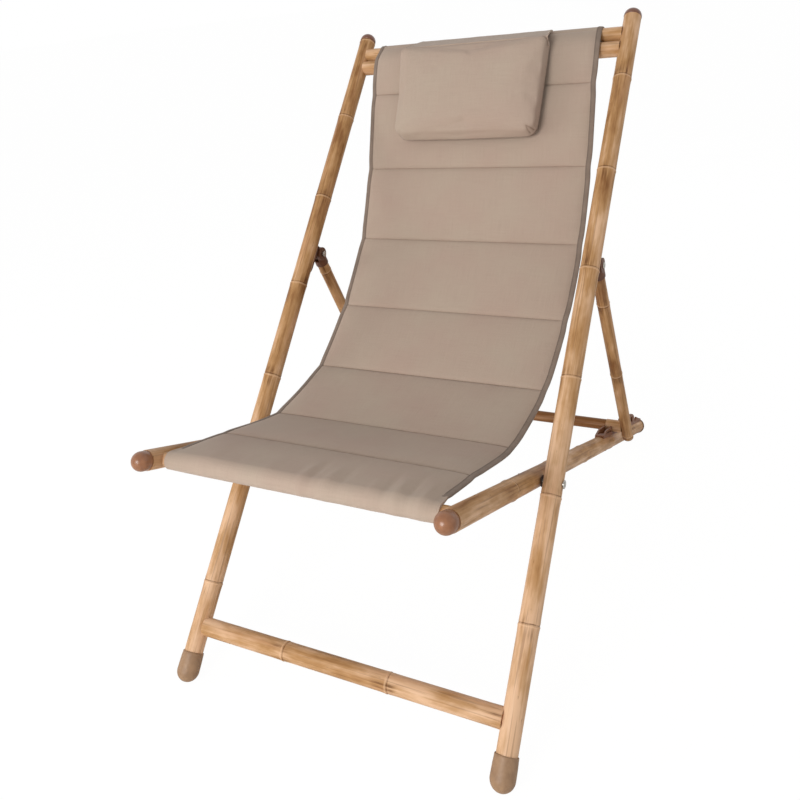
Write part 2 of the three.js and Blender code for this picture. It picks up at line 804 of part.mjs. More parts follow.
// Sling: a quilted sheet between the upper top bar and the front bar, with a loop at each end
const topPlace = new THREE.Vector3(0, topBarAlong, 0).applyMatrix4(mainFrame.matrix);
const lowerPlace = new THREE.Vector3(0, lowerBarAlong, 0).applyMatrix4(mainFrame.matrix);
const frontPlace = new THREE.Vector3(0, -frontBarAlong, 0).applyMatrix4(seatFrame.matrix);
const poleFront = new THREE.Vector3(0, 0, 1).applyQuaternion(mainFrame.quaternion);
const railUp = new THREE.Vector3(0, 0, 1).applyQuaternion(seatFrame.quaternion);
const topLoopInner = topBarDiameter / 2 + knuckleRise + seatGap;
const topLoopMiddle = topLoopInner + topLoopWall / 2;
const frontLoopInner = frontBarDiameter / 2 + seatGap;
const frontLoopMiddle = frontLoopInner + frontLoopWall / 2;
const chord = frontPlace.clone().sub(topPlace);
const sagDirection = new THREE.Vector3(0, -chord.z, chord.y).normalize().negate();
const seams = seamAlongShares.map((share, i) => topPlace.clone()
  .addScaledVector(chord, share)
  .addScaledVector(sagDirection, -seamSagShares[i] * chord.length()));
const slingStart = topPlace.clone().addScaledVector(poleFront, topLoopMiddle);
const slingEnd = frontPlace.clone().addScaledVector(railUp, frontLoopMiddle);
const slingTopHalfWidth = poleX - poleRadius - slingTopClearance;
const slingBackHalfWidth = poleX - poleRadius - slingBackClearance;
const slingFrontHalfWidth = railX - railRadius - slingFrontClearance;
const restOnLowerBar = lowerPlace.clone()
  .addScaledVector(poleFront, topLoopInner + slingSeamThickness / 2 + channelBackCrown);
const slingCurve = new THREE.CatmullRomCurve3(
  [slingStart, restOnLowerBar, ...seams, slingEnd], false, 'centripetal');

// Where each seam falls on the curve
const knotCount = seams.length + 2;
const seamPlaces = [0, ...seams.map((_, i) => (i + 2) / knotCount), 1];

function slingStations(steps) {
  const stations = [];
  for (let c = 0; c + 1 < seamPlaces.length; c += 1) {
    for (let i = 0; i < steps; i += 1) {
      const share = i / steps;
      const place = THREE.MathUtils.lerp(seamPlaces[c], seamPlaces[c + 1], share);
      stations.push({ place, crown: Math.sin(Math.PI * share) ** 0.7 });
    }
  }
  stations.push({ place: 1, crown: 0 });
  return stations.map(({ place, crown }) => {
    const point = slingCurve.getPoint(place);
    const tangent = slingCurve.getTangent(place);
    const normal = new THREE.Vector3(0, tangent.z, -tangent.y);
    return { place, crown, point, normal };
  });
}

function halfWidthAt(place) {
  if (place < backPlaceShare) {
    const share = THREE.MathUtils.smoothstep(place, 0, backPlaceShare);
    return THREE.MathUtils.lerp(slingTopHalfWidth, slingBackHalfWidth, share);
  }
  const share = THREE.MathUtils.smoothstep(place, backPlaceShare, frontPlaceShare);
  return THREE.MathUtils.lerp(slingBackHalfWidth, slingFrontHalfWidth, share);
}

const across = [...acrossShares.slice(1).reverse().map((share) => -share), ...acrossShares];

function slingSheet() {
  const rings = slingStations(channelSteps).map(({ place, crown, point, normal }) => {
    const half = halfWidthAt(place) - bindingWidth - seatGap;
    const side = (rise, base) => across.map((share) => {
      const swell = Math.sqrt(1 - Math.abs(share) ** 6);
      const height = base + rise * crown * swell;
      return new THREE.Vector3(share * half, point.y, point.z).addScaledVector(normal, height);
    });
    const front = side(channelCrown - slingSeamThickness / 2, slingSeamThickness / 2);
    const back = side(slingSeamThickness / 2 - channelBackCrown, -slingSeamThickness / 2);
    return [...back, ...front.reverse()];
  });
  return lofted(rings);
}

// A loop of cloth round a bar
function clothLoop(place, inner, wall, half) {
  return turnedAcross([
    [inner, -half],
    [inner + wall, -half],
    [inner + wall, half],
    [inner, half],
    [inner, -half],
  ], tubeSides + 4).translate([0, place.y, place.z]);
}

function sling() {
  const edge = bindingWidth + seatGap;
  return slingSheet()
    .add(clothLoop(topPlace, topLoopInner, topLoopWall, slingTopHalfWidth - edge))
    .add(clothLoop(frontPlace, frontLoopInner, frontLoopWall, slingFrontHalfWidth - edge))
    .subtract(turnedAcross(rod(topLoopInner, -poleX, poleX), tubeSides + 4)
      .translate([0, topPlace.y, topPlace.z]))
    .subtract(turnedAcross(rod(frontLoopInner, -poleX, poleX), tubeSides + 4)
      .translate([0, frontPlace.y, frontPlace.z]));
}

// The binding goes over both rolls and follows the edge of the sheet between them
function arcStations(place, radius, from, to, steps, curvePlace) {
  return Array.from({ length: steps }, (_, i) => {
    const angle = THREE.MathUtils.lerp(from, to, i / steps);
    const normal = new THREE.Vector3(0, Math.cos(angle), Math.sin(angle));
    return { place: curvePlace, point: place.clone().addScaledVector(normal, radius), normal };
  });
}

function edgeBinding(side) {
  const rollSteps = 8;
  const front = Math.atan2(poleFront.z, poleFront.y);
  const up = Math.atan2(railUp.z, railUp.y);
  const over = arcStations(topPlace, topLoopMiddle, front - Math.PI, front, rollSteps, 0);
  const under = arcStations(frontPlace, frontLoopMiddle, up, up + Math.PI, rollSteps, 1);
  const last = arcStations(frontPlace, frontLoopMiddle, up + Math.PI, up + Math.PI, 1, 1);
  const sheet = slingStations(channelSteps / 2).slice(0, -1);
  const rings = [...over, ...sheet, ...under, ...last].map(({ place, point, normal }) => {
    const outer = halfWidthAt(place);
    const inner = outer - bindingWidth;
    const half = Math.min(bindingThickness, topLoopWall + slingEdgeThickness) / 2;
    const low = place === 0 ? topLoopWall / 2 : Math.min(half, frontLoopWall / 2);
    const corner = (x, rise) => new THREE.Vector3(side * x, point.y, point.z)
      .addScaledVector(normal, rise);
    const ring = [
      corner(inner, half), corner(outer - half / 2, half), corner(outer, 0),
      corner(outer - half / 2, -low), corner(inner, -low),
    ];
    return side > 0 ? ring.reverse() : ring;
  });
  return lofted(rings);
}

add(clothFrame, 'sling', sling(), quiltedCloth);
for (const [side, sideName] of sides) {
  add(clothFrame, `sling_binding_${sideName}`, edgeBinding(side), bindingCloth);
}

// Headrest: a boxed cushion with round corners, hung from a flap laid over the top bar
function roundedOutline(width, height, corner) {
  const shape = new THREE.Shape();
  shape.moveTo(corner - width / 2, -height / 2);
  shape.lineTo(width / 2 - corner, -height / 2);
  shape.absarc(width / 2 - corner, corner - height / 2, corner, -Math.PI / 2, 0, false);
  shape.lineTo(width / 2, height / 2 - corner);
  shape.absarc(width / 2 - corner, height / 2 - corner, corner, 0, Math.PI / 2, false);
  shape.lineTo(corner - width / 2, height / 2);
  shape.absarc(corner - width / 2, height / 2 - corner, corner, Math.PI / 2, Math.PI, false);
  shape.lineTo(-width / 2, corner - height / 2);
  shape.absarc(corner - width / 2, corner - height / 2, corner, Math.PI, Math.PI * 1.5, false);
  return shape.getSpacedPoints(40).slice(0, -1);
}

const cushionLevels = [
  { insetShare: 0.06, riseShare: 0 },
  { insetShare: 0, riseShare: 0.16 },
  { insetShare: 0, riseShare: 0.8 },
  { insetShare: 0.05, riseShare: 1 },
];
const crownLevels = [
  { sizeShare: 0.82, riseShare: 0.42 },
  { sizeShare: 0.6, riseShare: 0.74 },
  { sizeShare: 0.3, riseShare: 0.94 },
];

function headrestCushion() {
  const outline = roundedOutline(headrestWidth, headrestHeight, headrestCorner);
  const side = headrestThickness - headrestCrown;
  const level = (share, rise) => outline.map((p) =>
    new THREE.Vector3(p.x * (1 - share * headrestHeight / headrestWidth), p.y * (1 - share), rise));
  const body = cushionLevels.map((l) => level(l.insetShare, l.riseShare * side));
  const crown = crownLevels.map((l) => level(1 - l.sizeShare, side + l.riseShare * headrestCrown));
  return lofted([...body, ...crown]);
}

// The cushion lies along the sling between the lower top bar and the first seam
const headrestTilt = Math.atan2(restOnLowerBar.z - seams[0].z, restOnLowerBar.y - seams[0].y);
const headrestTurn = THREE.MathUtils.radToDeg(headrestTilt);
const headrestBack = channelCrown + slingSeamThickness / 2 + headrestStandOff;
const headrestNormal = new THREE.Vector3(0, -Math.sin(headrestTilt), Math.cos(headrestTilt));
const headrestUp = new THREE.Vector3(0, Math.cos(headrestTilt), Math.sin(headrestTilt));
const headrestCentre = seams[0].clone()
  .addScaledVector(headrestNormal, headrestBack)
  .addScaledVector(headrestUp, -headrestDrop);
add(clothFrame, 'headrest_cushion',
  headrestCushion().rotate([headrestTurn, 0, 0]).translate(headrestCentre.toArray()),
  quiltedCloth);

// The flap hangs behind the bar, wraps it and runs straight on to the cushion's upper edge
function headrestFlap() {
  const radius = topLoopInner + topLoopWall + seatGap + flapThickness / 2;
  const behind = Math.atan2(-poleFront.z, -poleFront.y);
  const rollSteps = 8;
  const poleUp = new THREE.Vector3(0, 1, 0).applyQuaternion(mainFrame.quaternion);
  const upperEdge = headrestCentre.clone()
    .addScaledVector(headrestUp, headrestHeight / 2 + seatGap + flapThickness / 2)
    .addScaledVector(headrestNormal, headrestThickness / 2);
  const toEdge = upperEdge.clone().sub(topPlace);
  const leave = Math.atan2(toEdge.z, toEdge.y) - Math.acos(radius / toEdge.length());
  const over = arcStations(topPlace, radius, behind, leave, rollSteps, 0);
  const [lead] = arcStations(topPlace, radius, leave, leave, 1, 0);
  const hang = {
    point: topPlace.clone().addScaledVector(poleFront, -radius)
      .addScaledVector(poleUp, -flapBackDrop),
    normal: poleFront.clone().negate(),
  };
  const end = { point: upperEdge, normal: headrestUp.clone() };
  const rings = [hang, ...over, lead, end].map(({ point, normal }) => {
    const half = headrestWidth / 2 - headrestCorner / 2;
    const corner = (x, rise) => new THREE.Vector3(x, point.y, point.z)
      .addScaledVector(normal, rise * flapThickness / 2);
    return [corner(-half, -1), corner(half, -1), corner(half, 1), corner(-half, 1)];
  });
  return lofted(rings);
}

add(clothFrame, 'headrest_flap', headrestFlap(), quiltedCloth);

// The origin lies on the floor, in the middle of the depth
recliner.updateMatrixWorld(true);
const extent = new THREE.Box3().setFromObject(recliner, true);
recliner.position.y = -(extent.min.y + extent.max.y) / 2;

export default recliner;
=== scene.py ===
import json
import logging
import math
from dataclasses import dataclass, field
from enum import Enum
from typing import Any, Callable, Iterable, Sequence

import bmesh
import bpy
from mathutils import Matrix, Vector, noise


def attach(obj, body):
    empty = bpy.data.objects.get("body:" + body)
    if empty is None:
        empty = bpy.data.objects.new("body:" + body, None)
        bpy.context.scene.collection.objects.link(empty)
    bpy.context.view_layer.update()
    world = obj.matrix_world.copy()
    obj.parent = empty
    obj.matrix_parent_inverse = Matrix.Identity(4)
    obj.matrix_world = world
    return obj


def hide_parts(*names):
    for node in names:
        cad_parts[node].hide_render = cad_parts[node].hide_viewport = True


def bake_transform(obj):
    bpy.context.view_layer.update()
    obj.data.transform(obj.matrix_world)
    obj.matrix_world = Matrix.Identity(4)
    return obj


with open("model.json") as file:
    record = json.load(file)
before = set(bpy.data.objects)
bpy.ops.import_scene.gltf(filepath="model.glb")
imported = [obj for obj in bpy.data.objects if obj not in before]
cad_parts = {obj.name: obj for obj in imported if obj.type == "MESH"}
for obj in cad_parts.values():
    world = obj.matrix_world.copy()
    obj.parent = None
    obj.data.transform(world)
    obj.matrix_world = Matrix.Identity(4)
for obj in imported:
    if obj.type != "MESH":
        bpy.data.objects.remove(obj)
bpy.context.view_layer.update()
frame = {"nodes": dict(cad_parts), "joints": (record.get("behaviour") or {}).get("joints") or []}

log = logging.getLogger("recliner")

Colour = tuple[float, float, float, float]
Profile = Sequence[tuple[float, float]]
SIDES = ((1, "right"), (-1, "left"))


def tint(red: int, green: int, blue: int) -> Colour:
    """Turns a colour as the eye reads it into the linear one that a shader takes.

    Args:
        red: Red from 0 to 255.
        green: Green from 0 to 255.
        blue: Blue from 0 to 255.

    Returns:
        The linear colour with full opacity.
    """
    def linear(value: float) -> float:
        """Undoes the display curve for one channel."""
        share = value / 255
        return share / 12.92 if share <= 0.04045 else ((share + 0.055) / 1.055) ** 2.4
    return (linear(red), linear(green), linear(blue), 1.0)


def bump(offset: float, width: float) -> float:
    """Gives a smooth bump of height 1 round 0, which falls to about a third at its width."""
    return math.exp(-(offset / width) ** 2)


def wander(x: float, y: float, z: float) -> float:
    """Gives a smooth noise from about -1 to 1."""
    return noise.noise(Vector((x, y, z)))


def limited(value: float) -> float:
    """Keeps a number from 0 to 1."""
    return min(max(value, 0.0), 1.0)


def spoke(turn: float) -> Vector:
    """Gives the unit vector in the side view that is turned from +Y towards +Z."""
    return Vector((0, math.cos(turn), math.sin(turn)))


class Body(Enum):
    """The moving bodies of the recliner."""

    MAIN = "main_frame"
    SEAT = "seat_frame"
    PROP = "prop_frame"


class Slot(Enum):
    """The record's slot of each finish."""

    CANE = "cane"
    DOWEL = "dowel_wood"
    FOOT = "foot_rubber"
    CAP = "cap_plastic"
    BALL = "ball_plastic"
    BRACKET = "bracket_plastic"
    RACK = "rack_plastic"
    STEEL = "steel"
    CLOTH = "quilted_cloth"
    BINDING = "binding_cloth"


# Node trees

def operator(operation: str, swapped: bool = False) -> Callable[["Wire", Any], "Wire"]:
    """Makes the method behind one operator of a wire.

    Args:
        operation: The Math node's operation.
        swapped: Whether the wire is the second operand, as in the reflected forms.

    Returns:
        The method, which takes the wire and a number or another wire.
    """
    def method(wire: "Wire", other: Any) -> "Wire":
        """Adds the operator's Math node."""
        return wire.graph.math(operation, *((other, wire) if swapped else (wire, other)))
    return method


class Wire:
    """A number that changes over a surface: one output socket with arithmetic."""

    __add__, __radd__ = operator("ADD"), operator("ADD", swapped=True)
    __sub__, __rsub__ = operator("SUBTRACT"), operator("SUBTRACT", swapped=True)
    __mul__, __rmul__ = operator("MULTIPLY"), operator("MULTIPLY", swapped=True)
    __truediv__ = operator("DIVIDE")
    __gt__ = operator("GREATER_THAN")

    def __init__(self, graph: "Graph", socket: bpy.types.NodeSocket) -> None:
        """Keeps the graph that the socket belongs to."""
        self.graph = graph
        self.socket = socket

    def __abs__(self) -> "Wire":
        """Drops the sign."""
        return self.graph.math("ABSOLUTE", self)

    def sine(self) -> "Wire":
        """Gives the sine of an angle in radians."""
        return self.graph.math("SINE", self)

    def exp(self) -> "Wire":
        """Gives e to the power of this wire."""
        return self.graph.math("EXPONENT", self)

    def clamped(self) -> "Wire":
        """Keeps the number from 0 to 1."""
        return self.graph.math("ADD", self, 0.0, clamp=True)

    def bell(self, centre: float, width: float) -> "Wire":
        """Gives a smooth bump of height 1 round a centre, which falls to a third at its width."""
        offset = (self - centre) / width
        return (offset * offset * -1.0).exp()

    def ramped(self, low: float, high: float) -> "Wire":
        """Rises smoothly from 0 at the low value to 1 at the high one."""
        node = self.graph.node(
            "ShaderNodeMapRange", {"interpolation_type": "SMOOTHSTEP"},
            {"Value": self, "From Min": low, "From Max": high},
        )
        return Wire(self.graph, node.outputs["Result"])


class Graph:
    """Adds nodes to one node tree, and plugs values and wires into their sockets."""

    def __init__(self, tree: bpy.types.NodeTree) -> None:
        """Keeps the tree that the nodes go into."""
        self.tree = tree

    def node(
        self,
        kind: str,
        settings: dict[str, Any] | None = None,
        sockets: dict[str | int, Any] | None = None,
    ) -> bpy.types.Node:
        """Adds a node.

        Args:
            kind: The node's type.
            settings: Its settings, such as an operation or a ramp's stops.
            sockets: A value or a link for each named or numbered input.

        Returns:
            The node.
        """
        made = self.tree.nodes.new(kind)
        for name, value in (settings or {}).items():
            if name == "stops":
                elements = made.color_ramp.elements
                while len(elements) < len(value):
                    elements.new(0.5)
                for element, (place, colour) in zip(elements, value):
                    element.position, element.color = place, colour
            else:
                setattr(made, name, value)
        for key, value in (sockets or {}).items():
            self.plug(made.inputs[key], value)
        return made

    def plug(self, socket: bpy.types.NodeSocket, value: Any) -> None:
        """Links a socket, or sets its value."""
        if isinstance(value, Wire):
            value = value.socket
        if isinstance(value, bpy.types.NodeSocket):
            self.tree.links.new(value, socket)
        else:
            socket.default_value = value

    def math(self, operation: str, *values: Any, clamp: bool = False) -> Wire:
        """Adds a Math node.

        Args:
            operation: The node's operation.
            values: One or two numbers or wires.
            clamp: Whether the result is kept from 0 to 1.

        Returns:
            The result.
        """
        settings = {"operation": operation, "use_clamp": clamp}
        node = self.node("ShaderNodeMath", settings, dict(enumerate(values)))
        return Wire(self, node.outputs[0])

    def split(self, vector: bpy.types.NodeSocket) -> tuple[Wire, Wire, Wire]:
        """Takes a vector apart into its three numbers."""
        node = self.node("ShaderNodeSeparateXYZ", None, {0: vector})
        return tuple(Wire(self, socket) for socket in node.outputs)

    def joined(self, x: Any, y: Any, z: Any) -> bpy.types.NodeSocket:
        """Makes a vector from three numbers or wires."""
        return self.node("ShaderNodeCombineXYZ", None, {0: x, 1: y, 2: z}).outputs[0]

    def grain(
        self, vector: bpy.types.NodeSocket, scale: float, detail: float = 2.0, rough: float = 0.5,
    ) -> Wire:
        """Adds a noise around 0.5, with its lumps to the metre and the strength of finer layers."""
        node = self.node(
            "ShaderNodeTexNoise", None,
            {"Vector": vector, "Scale": scale, "Detail": detail, "Roughness": rough},
        )
        return Wire(self, node.outputs[0])

    def streaks(
        self, vector: bpy.types.NodeSocket, squeeze: Sequence[float], scale: float,
        detail: float = 2.0, rough: float = 0.5,
    ) -> Wire:
        """Adds a noise that is drawn out along each axis whose factor is below 1."""
        node = self.node("ShaderNodeVectorMath", {"operation": "MULTIPLY"}, {0: vector, 1: squeeze})
        return self.grain(node.outputs[0], scale, detail, rough)

    def mixed(self, share: Any, first: Any, second: Any) -> bpy.types.NodeSocket:
        """Mixes two colours: the first at a share of 0, the second at 1."""
        return self.node("ShaderNodeMix", {"data_type": "RGBA"},
                         {0: share, 6: first, 7: second}).outputs[2]


class Paint(Graph):
    """A material under construction, with one Principled shader."""

    def __init__(self, name: str, **fixed: Any) -> None:
        """Makes the material.

        Args:
            name: The material's name.
            fixed: Values of the shader's sockets, with _ for each space.
        """
        self.material = bpy.data.materials.new(name)
        self.material.use_nodes = True
        super().__init__(self.material.node_tree)
        self.tree.nodes.clear()
        self.shader = self.node("ShaderNodeBsdfPrincipled")
        self.output = self.node("ShaderNodeOutputMaterial", None, {"Surface": self.shader.outputs[0]})
        for key, value in fixed.items():
            self.plug(self.shader.inputs[key.replace("_", " ").title().replace("Ior", "IOR")], value)

    def place(self) -> bpy.types.NodeSocket:
        """Gives the point's place in the recliner, in metres."""
        return self.node("ShaderNodeTexCoord").outputs["Object"]

    def attribute(self, name: str) -> bpy.types.NodeSocket:
        """Gives a vector that the mesh carries."""
        return self.node("ShaderNodeAttribute", {"attribute_name": name}).outputs["Vector"]

    def measure(self, name: str) -> Wire:
        """Gives a number that the mesh carries."""
        return Wire(self, self.node("ShaderNodeAttribute", {"attribute_name": name}).outputs["Fac"])

    def dress(self, colour: Any = None, roughness: Any = None, relief: Any = None,
              depth: float = 0.0002) -> bpy.types.Material:
        """Links what changes over the surface.

        Args:
            colour: The base colour.
            roughness: The roughness.
            relief: The height of fine relief, from 0 to 1.
            depth: How deep that relief is, in metres.

        Returns:
            The material.
        """
        if colour is not None:
            self.plug(self.shader.inputs["Base Color"], colour)
        if roughness is not None:
            self.plug(self.shader.inputs["Roughness"], roughness)
        if relief is not None:
            dents = self.node("ShaderNodeBump", None,
                              {"Strength": 0.6, "Distance": depth, "Height": relief})
            self.plug(self.shader.inputs["Normal"], dents.outputs[0])
        return self.material


# Finishes

class Finish:
    """A finish that makes its material once."""

    _made: dict[str, bpy.types.Material] = {}
    name: str
    slot: Slot

    def material(self) -> bpy.types.Material:
        """Gives the material, and makes it the first time."""
        if self.name not in Finish._made:
            Finish._made[self.name] = self.paint()
        return Finish._made[self.name]

    def paint(self) -> bpy.types.Material:
        """Makes the material."""
        raise NotImplementedError


@dataclass(frozen=True)
class CaneFinish(Finish):
    """Lacquered bamboo: long fibres, a pale ring and a dark line at each knuckle."""

    name: str = "bamboo_cane"
    slot: Slot = Slot.CANE
    pale: Colour = tint(224, 184, 148)
    golden: Colour = tint(182, 138, 92)
    deep: Colour = tint(138, 94, 56)
    stain: Colour = tint(92, 56, 32)
    rose: Colour = tint(208, 160, 122)

    def paint(self) -> bpy.types.Material:
        """Makes the bamboo from the cane's own coordinates and its knuckles."""
        paint = Paint(self.name, coat_weight=0.04, coat_roughness=0.22, specular_ior_level=0.1)
        place = paint.attribute("cane_place")
        knuckle = paint.measure("knuckle")
        tone = paint.measure("tone")
        fibre = paint.streaks(place, (1, 0.03, 1), 900, 3, 0.6)
        streak = paint.streaks(place, (1, 0.035, 1), 170, 3, 0.5)
        cloud = paint.streaks(place, (1, 0.3, 1), 48, 3, 0.55)
        blush = paint.streaks(place, (1, 0.12, 1), 60)
        fleck = paint.streaks(place, (1, 0.2, 1), 380)
        depth = (tone + (streak - 0.5) * 0.85 + (cloud - 0.5) * 1.5 + (fibre - 0.5) * 0.35
                 + knuckle.bell(-0.03, 0.03) * 0.1).clamped()
        colour = paint.mixed(depth.ramped(0.0, 0.62), self.pale, self.golden)
        colour = paint.mixed(depth.ramped(0.5, 1.0), colour, self.deep)
        colour = paint.mixed(blush.ramped(0.52, 0.72) * 0.5, colour, self.rose)
        vein = paint.streaks(place, (1, 0.02, 1), 330)
        flecks = fleck.ramped(0.7, 0.8) * 0.4 + vein.ramped(0.58, 0.68) * 0.3
        scar = (knuckle.bell(0.007, 0.0085) * cloud.ramped(0.4, 0.66) * streak.ramped(0.4, 0.62))
        root = knuckle.bell(-0.013, 0.010) * streak.ramped(0.52, 0.7) * 0.5
        colour = paint.mixed((flecks + scar * 0.75 + root).clamped(), colour, self.stain)
        colour = paint.mixed(knuckle.bell(-0.0012, 0.0013) * 0.5, colour, self.pale)
        line = knuckle.bell(0.0021, 0.00085) * (0.62 + (streak - 0.5) * 1.6)
        colour = paint.mixed((line * 0.9).clamped(), colour, self.stain)
        roughness = 0.36 + (fibre - 0.5) * 0.3 + knuckle.bell(0.0, 0.004) * 0.12
        return paint.dress(colour, roughness.clamped(), fibre * 0.4 + streak * 0.6, 0.00006)


@dataclass(frozen=True)
class MouldedFinish(Finish):
    """Moulded plastic with a faint mottle and a fine surface grain."""

    name: str
    slot: Slot
    colour: Colour
    shade: Colour
    roughness: float = 0.45
    gloss: float = 0.0

    def paint(self) -> bpy.types.Material:
        """Makes the moulded plastic."""
        paint = Paint(self.name, coat_weight=self.gloss, coat_roughness=0.12)
        place = paint.place()
        mottle = paint.grain(place, 70, 3, 0.55)
        pores = paint.grain(place, 1500)
        smear = paint.streaks(place, (1, 1, 0.3), 210)
        share = ((mottle - 0.5) * 1.5 + (smear - 0.5) * 0.7 + 0.45).clamped()
        colour = paint.mixed(share, self.colour, self.shade)
        roughness = self.roughness + (smear - 0.5) * 0.22 + (pores - 0.5) * 0.1
        return paint.dress(colour, roughness.clamped(), pores * 0.6 + mottle * 0.4, 0.00008)


@dataclass(frozen=True)
class SteelFinish(Finish):
    """Bright zinc-plated steel with fine turning marks."""

    name: str = "plated_steel"
    slot: Slot = Slot.STEEL
    colour: Colour = tint(200, 198, 192)
    dull: Colour = tint(150, 146, 138)

    def paint(self) -> bpy.types.Material:
        """Makes the plated steel."""
        paint = Paint(self.name, metallic=1.0)
        place = paint.place()
        spangle = paint.grain(place, 380, 3, 0.6)
        marks = paint.streaks(place, (0.2, 1, 1), 1900)
        colour = paint.mixed(spangle.ramped(0.4, 0.7), self.colour, self.dull)
        roughness = 0.26 + (spangle - 0.5) * 0.3 + (marks - 0.5) * 0.14
        return paint.dress(colour, roughness.clamped(), marks, 0.00003)


@dataclass(frozen=True)
class DowelFinish(Finish):
    """Plain turned hardwood, as on the hidden dowels."""

    name: str = "dowel_wood"
    slot: Slot = Slot.DOWEL
    colour: Colour = tint(190, 150, 100)
    grain: Colour = tint(150, 108, 66)

    def paint(self) -> bpy.types.Material:
        """Makes the raw wood."""
        paint = Paint(self.name)
        place = paint.place()
        fibre = paint.streaks(place, (0.05, 1, 1), 700, 3, 0.6)
        colour = paint.mixed(fibre.ramped(0.35, 0.7), self.colour, self.grain)
        return paint.dress(colour, 0.6 + (fibre - 0.5) * 0.2, fibre, 0.0001)


@dataclass(frozen=True)
class ClothFinish(Finish):
    """Tight plain-weave cloth, read from the cloth's own coordinates in metres."""

    name: str = "quilted_cloth"
    slot: Slot = Slot.CLOTH
    colour: Colour = tint(183, 165, 148)
    warm: Colour = tint(181, 157, 142)
    shade: Colour = tint(122, 100, 84)
    # Dark brown of the painted contact shadow where the headrest cushion meets the sling.
    painted_contact_shadow: Colour = tint(80, 54, 40)
    thread: float = 0.0009

    def paint(self) -> bpy.types.Material:
        """Makes the weave with slubs and a soft mottle, with painted shade in the seam grooves and a
        painted contact shadow where the headrest meets the sling.
        """
        paint = Paint(self.name, sheen_weight=0.12, sheen_roughness=0.5, specular_ior_level=0.2)
        place = paint.attribute("cloth_place")
        # seam is the distance to the nearest seam or fold; sewn sets how strongly painted shade darkens
        # it.
        seam = paint.measure("seam")
        sewn = paint.measure("sewn")
        across, along, through = paint.split(place)
        turn = math.pi / self.thread
        wave_x = (across * turn).sine()
        wave_y = ((along + through) * turn).sine()
        over = (wave_x * wave_y) > 0.0
        weave = abs(wave_x) * over + abs(wave_y) * (1 - over)
        slub_x = paint.streaks(place, (1, 0.03, 1), 700)
        slub_y = paint.streaks(place, (0.03, 1, 1), 700)
        mottle = paint.grain(place, 9, 3, 0.5)
        fuzz = paint.grain(place, 2600, 1, 0.5)
        slub = (slub_x + slub_y - 1.0) * 0.8
        warmth = ((mottle - 0.5) * 2.0 + 0.42).clamped()
        colour = paint.mixed(warmth, self.colour, self.warm)
        dark = ((0.5 - weave) * 0.3 + slub * 0.34 + (fuzz - 0.5) * 0.25 + 0.1).clamped()
        colour = paint.mixed(dark, colour, self.shade)
        # Painted shade in the seam grooves and along the cushion's mitre folds.
        groove = (seam.bell(0.0, 0.0012) * 1.1 + seam.bell(0.0, 0.004) * 0.2) * sewn
        colour = paint.mixed(groove.clamped(), colour, self.shade)
        # Painted contact shadow: a dark line low on the cushion's walls, where the sewn share is full.
        contact_shadow_share = (seam.bell(0.0, 0.0046) * (sewn - 0.8) * 5).clamped()
        colour = paint.mixed(contact_shadow_share, colour, self.painted_contact_shadow)
        relief = weave * 0.6 + slub * 0.3 + fuzz * 0.2
        return paint.dress(colour, 0.86 + (fuzz - 0.5) * 0.12, relief, 0.00018)


@dataclass(frozen=True)
class TapeFinish(Finish):
    """Ribbed binding tape, with ribs across its length."""

    name: str = "binding_tape"
    slot: Slot = Slot.BINDING
    colour: Colour = tint(146, 129, 116)
    shade: Colour = tint(102, 87, 76)
    rib: float = 0.0012

    def paint(self) -> bpy.types.Material:
        """Makes the tape."""
        paint = Paint(self.name, sheen_weight=0.1, sheen_roughness=0.5, specular_ior_level=0.2)
        place = paint.attribute("cloth_place")
        across, along, _ = paint.split(place)
        ribs = abs((along * (math.pi / self.rib)).sine())
        cords = abs((across * (math.pi / self.rib)).sine())
        fuzz = paint.grain(place, 1900)
        mottle = paint.grain(place, 40)
        dark = ((1 - ribs) * 0.35 + (1 - cords) * 0.12 + (fuzz - 0.5) * 0.5
                + (mottle - 0.5) * 0.8 + 0.1).clamped()
        colour = paint.mixed(dark, self.colour, self.shade)
        return paint.dress(colour, 0.88 + (fuzz - 0.5) * 0.1, ribs * 0.7 + fuzz * 0.3, 0.0002)


@dataclass(frozen=True)
class ThreadFinish(Finish):
    """Sewing thread."""

    name: str
    slot: Slot
    colour: Colour
    shade: Colour

    def paint(self) -> bpy.types.Material:
        """Makes the thread with a fine twist."""
        paint = Paint(self.name, specular_ior_level=0.3)
        twist = paint.grain(paint.place(), 2400, 1, 0.5)
        colour = paint.mixed(twist.ramped(0.35, 0.65), self.colour, self.shade)
        return paint.dress(colour, 0.6 + (twist - 0.5) * 0.2, twist, 0.00008)


CANE = CaneFinish()
BOOT = MouldedFinish("foot_rubber", Slot.FOOT, tint(164, 130, 98), tint(136, 104, 76), 0.5)
POLE_CAP = MouldedFinish("pole_cap_plastic", Slot.CAP, tint(124, 72, 44), tint(96, 52, 30), 0.32, 0.25)
BALL = MouldedFinish("ball_cap_plastic", Slot.BALL, tint(154, 102, 66), tint(126, 78, 48), 0.34, 0.22)
REAR_CAP = MouldedFinish("rear_cap_plastic", Slot.FOOT, tint(142, 112, 86), tint(112, 86, 64))
BRACKET = MouldedFinish("bracket_plastic", Slot.BRACKET, tint(112, 66, 36), tint(82, 46, 24))
RACK = MouldedFinish("rack_plastic", Slot.RACK, tint(138, 86, 52), tint(98, 58, 32), 0.5)
STEEL = SteelFinish()
# The spacer washer gets the brown of the painted shade in the gap between rail and pole.
SHADED_WASHER = MouldedFinish("washer_painted_shade", Slot.STEEL, tint(78, 52, 34), tint(54, 36, 24), 0.55)
DOWEL = DowelFinish()
CLOTH = ClothFinish()
TAPE = TapeFinish()
THREAD = ThreadFinish("sewing_thread", Slot.CLOTH, tint(150, 128, 110), tint(112, 92, 78))
TAPE_THREAD = ThreadFinish("binding_thread", Slot.BINDING, tint(104, 90, 78), tint(76, 64, 54))


# Meshes

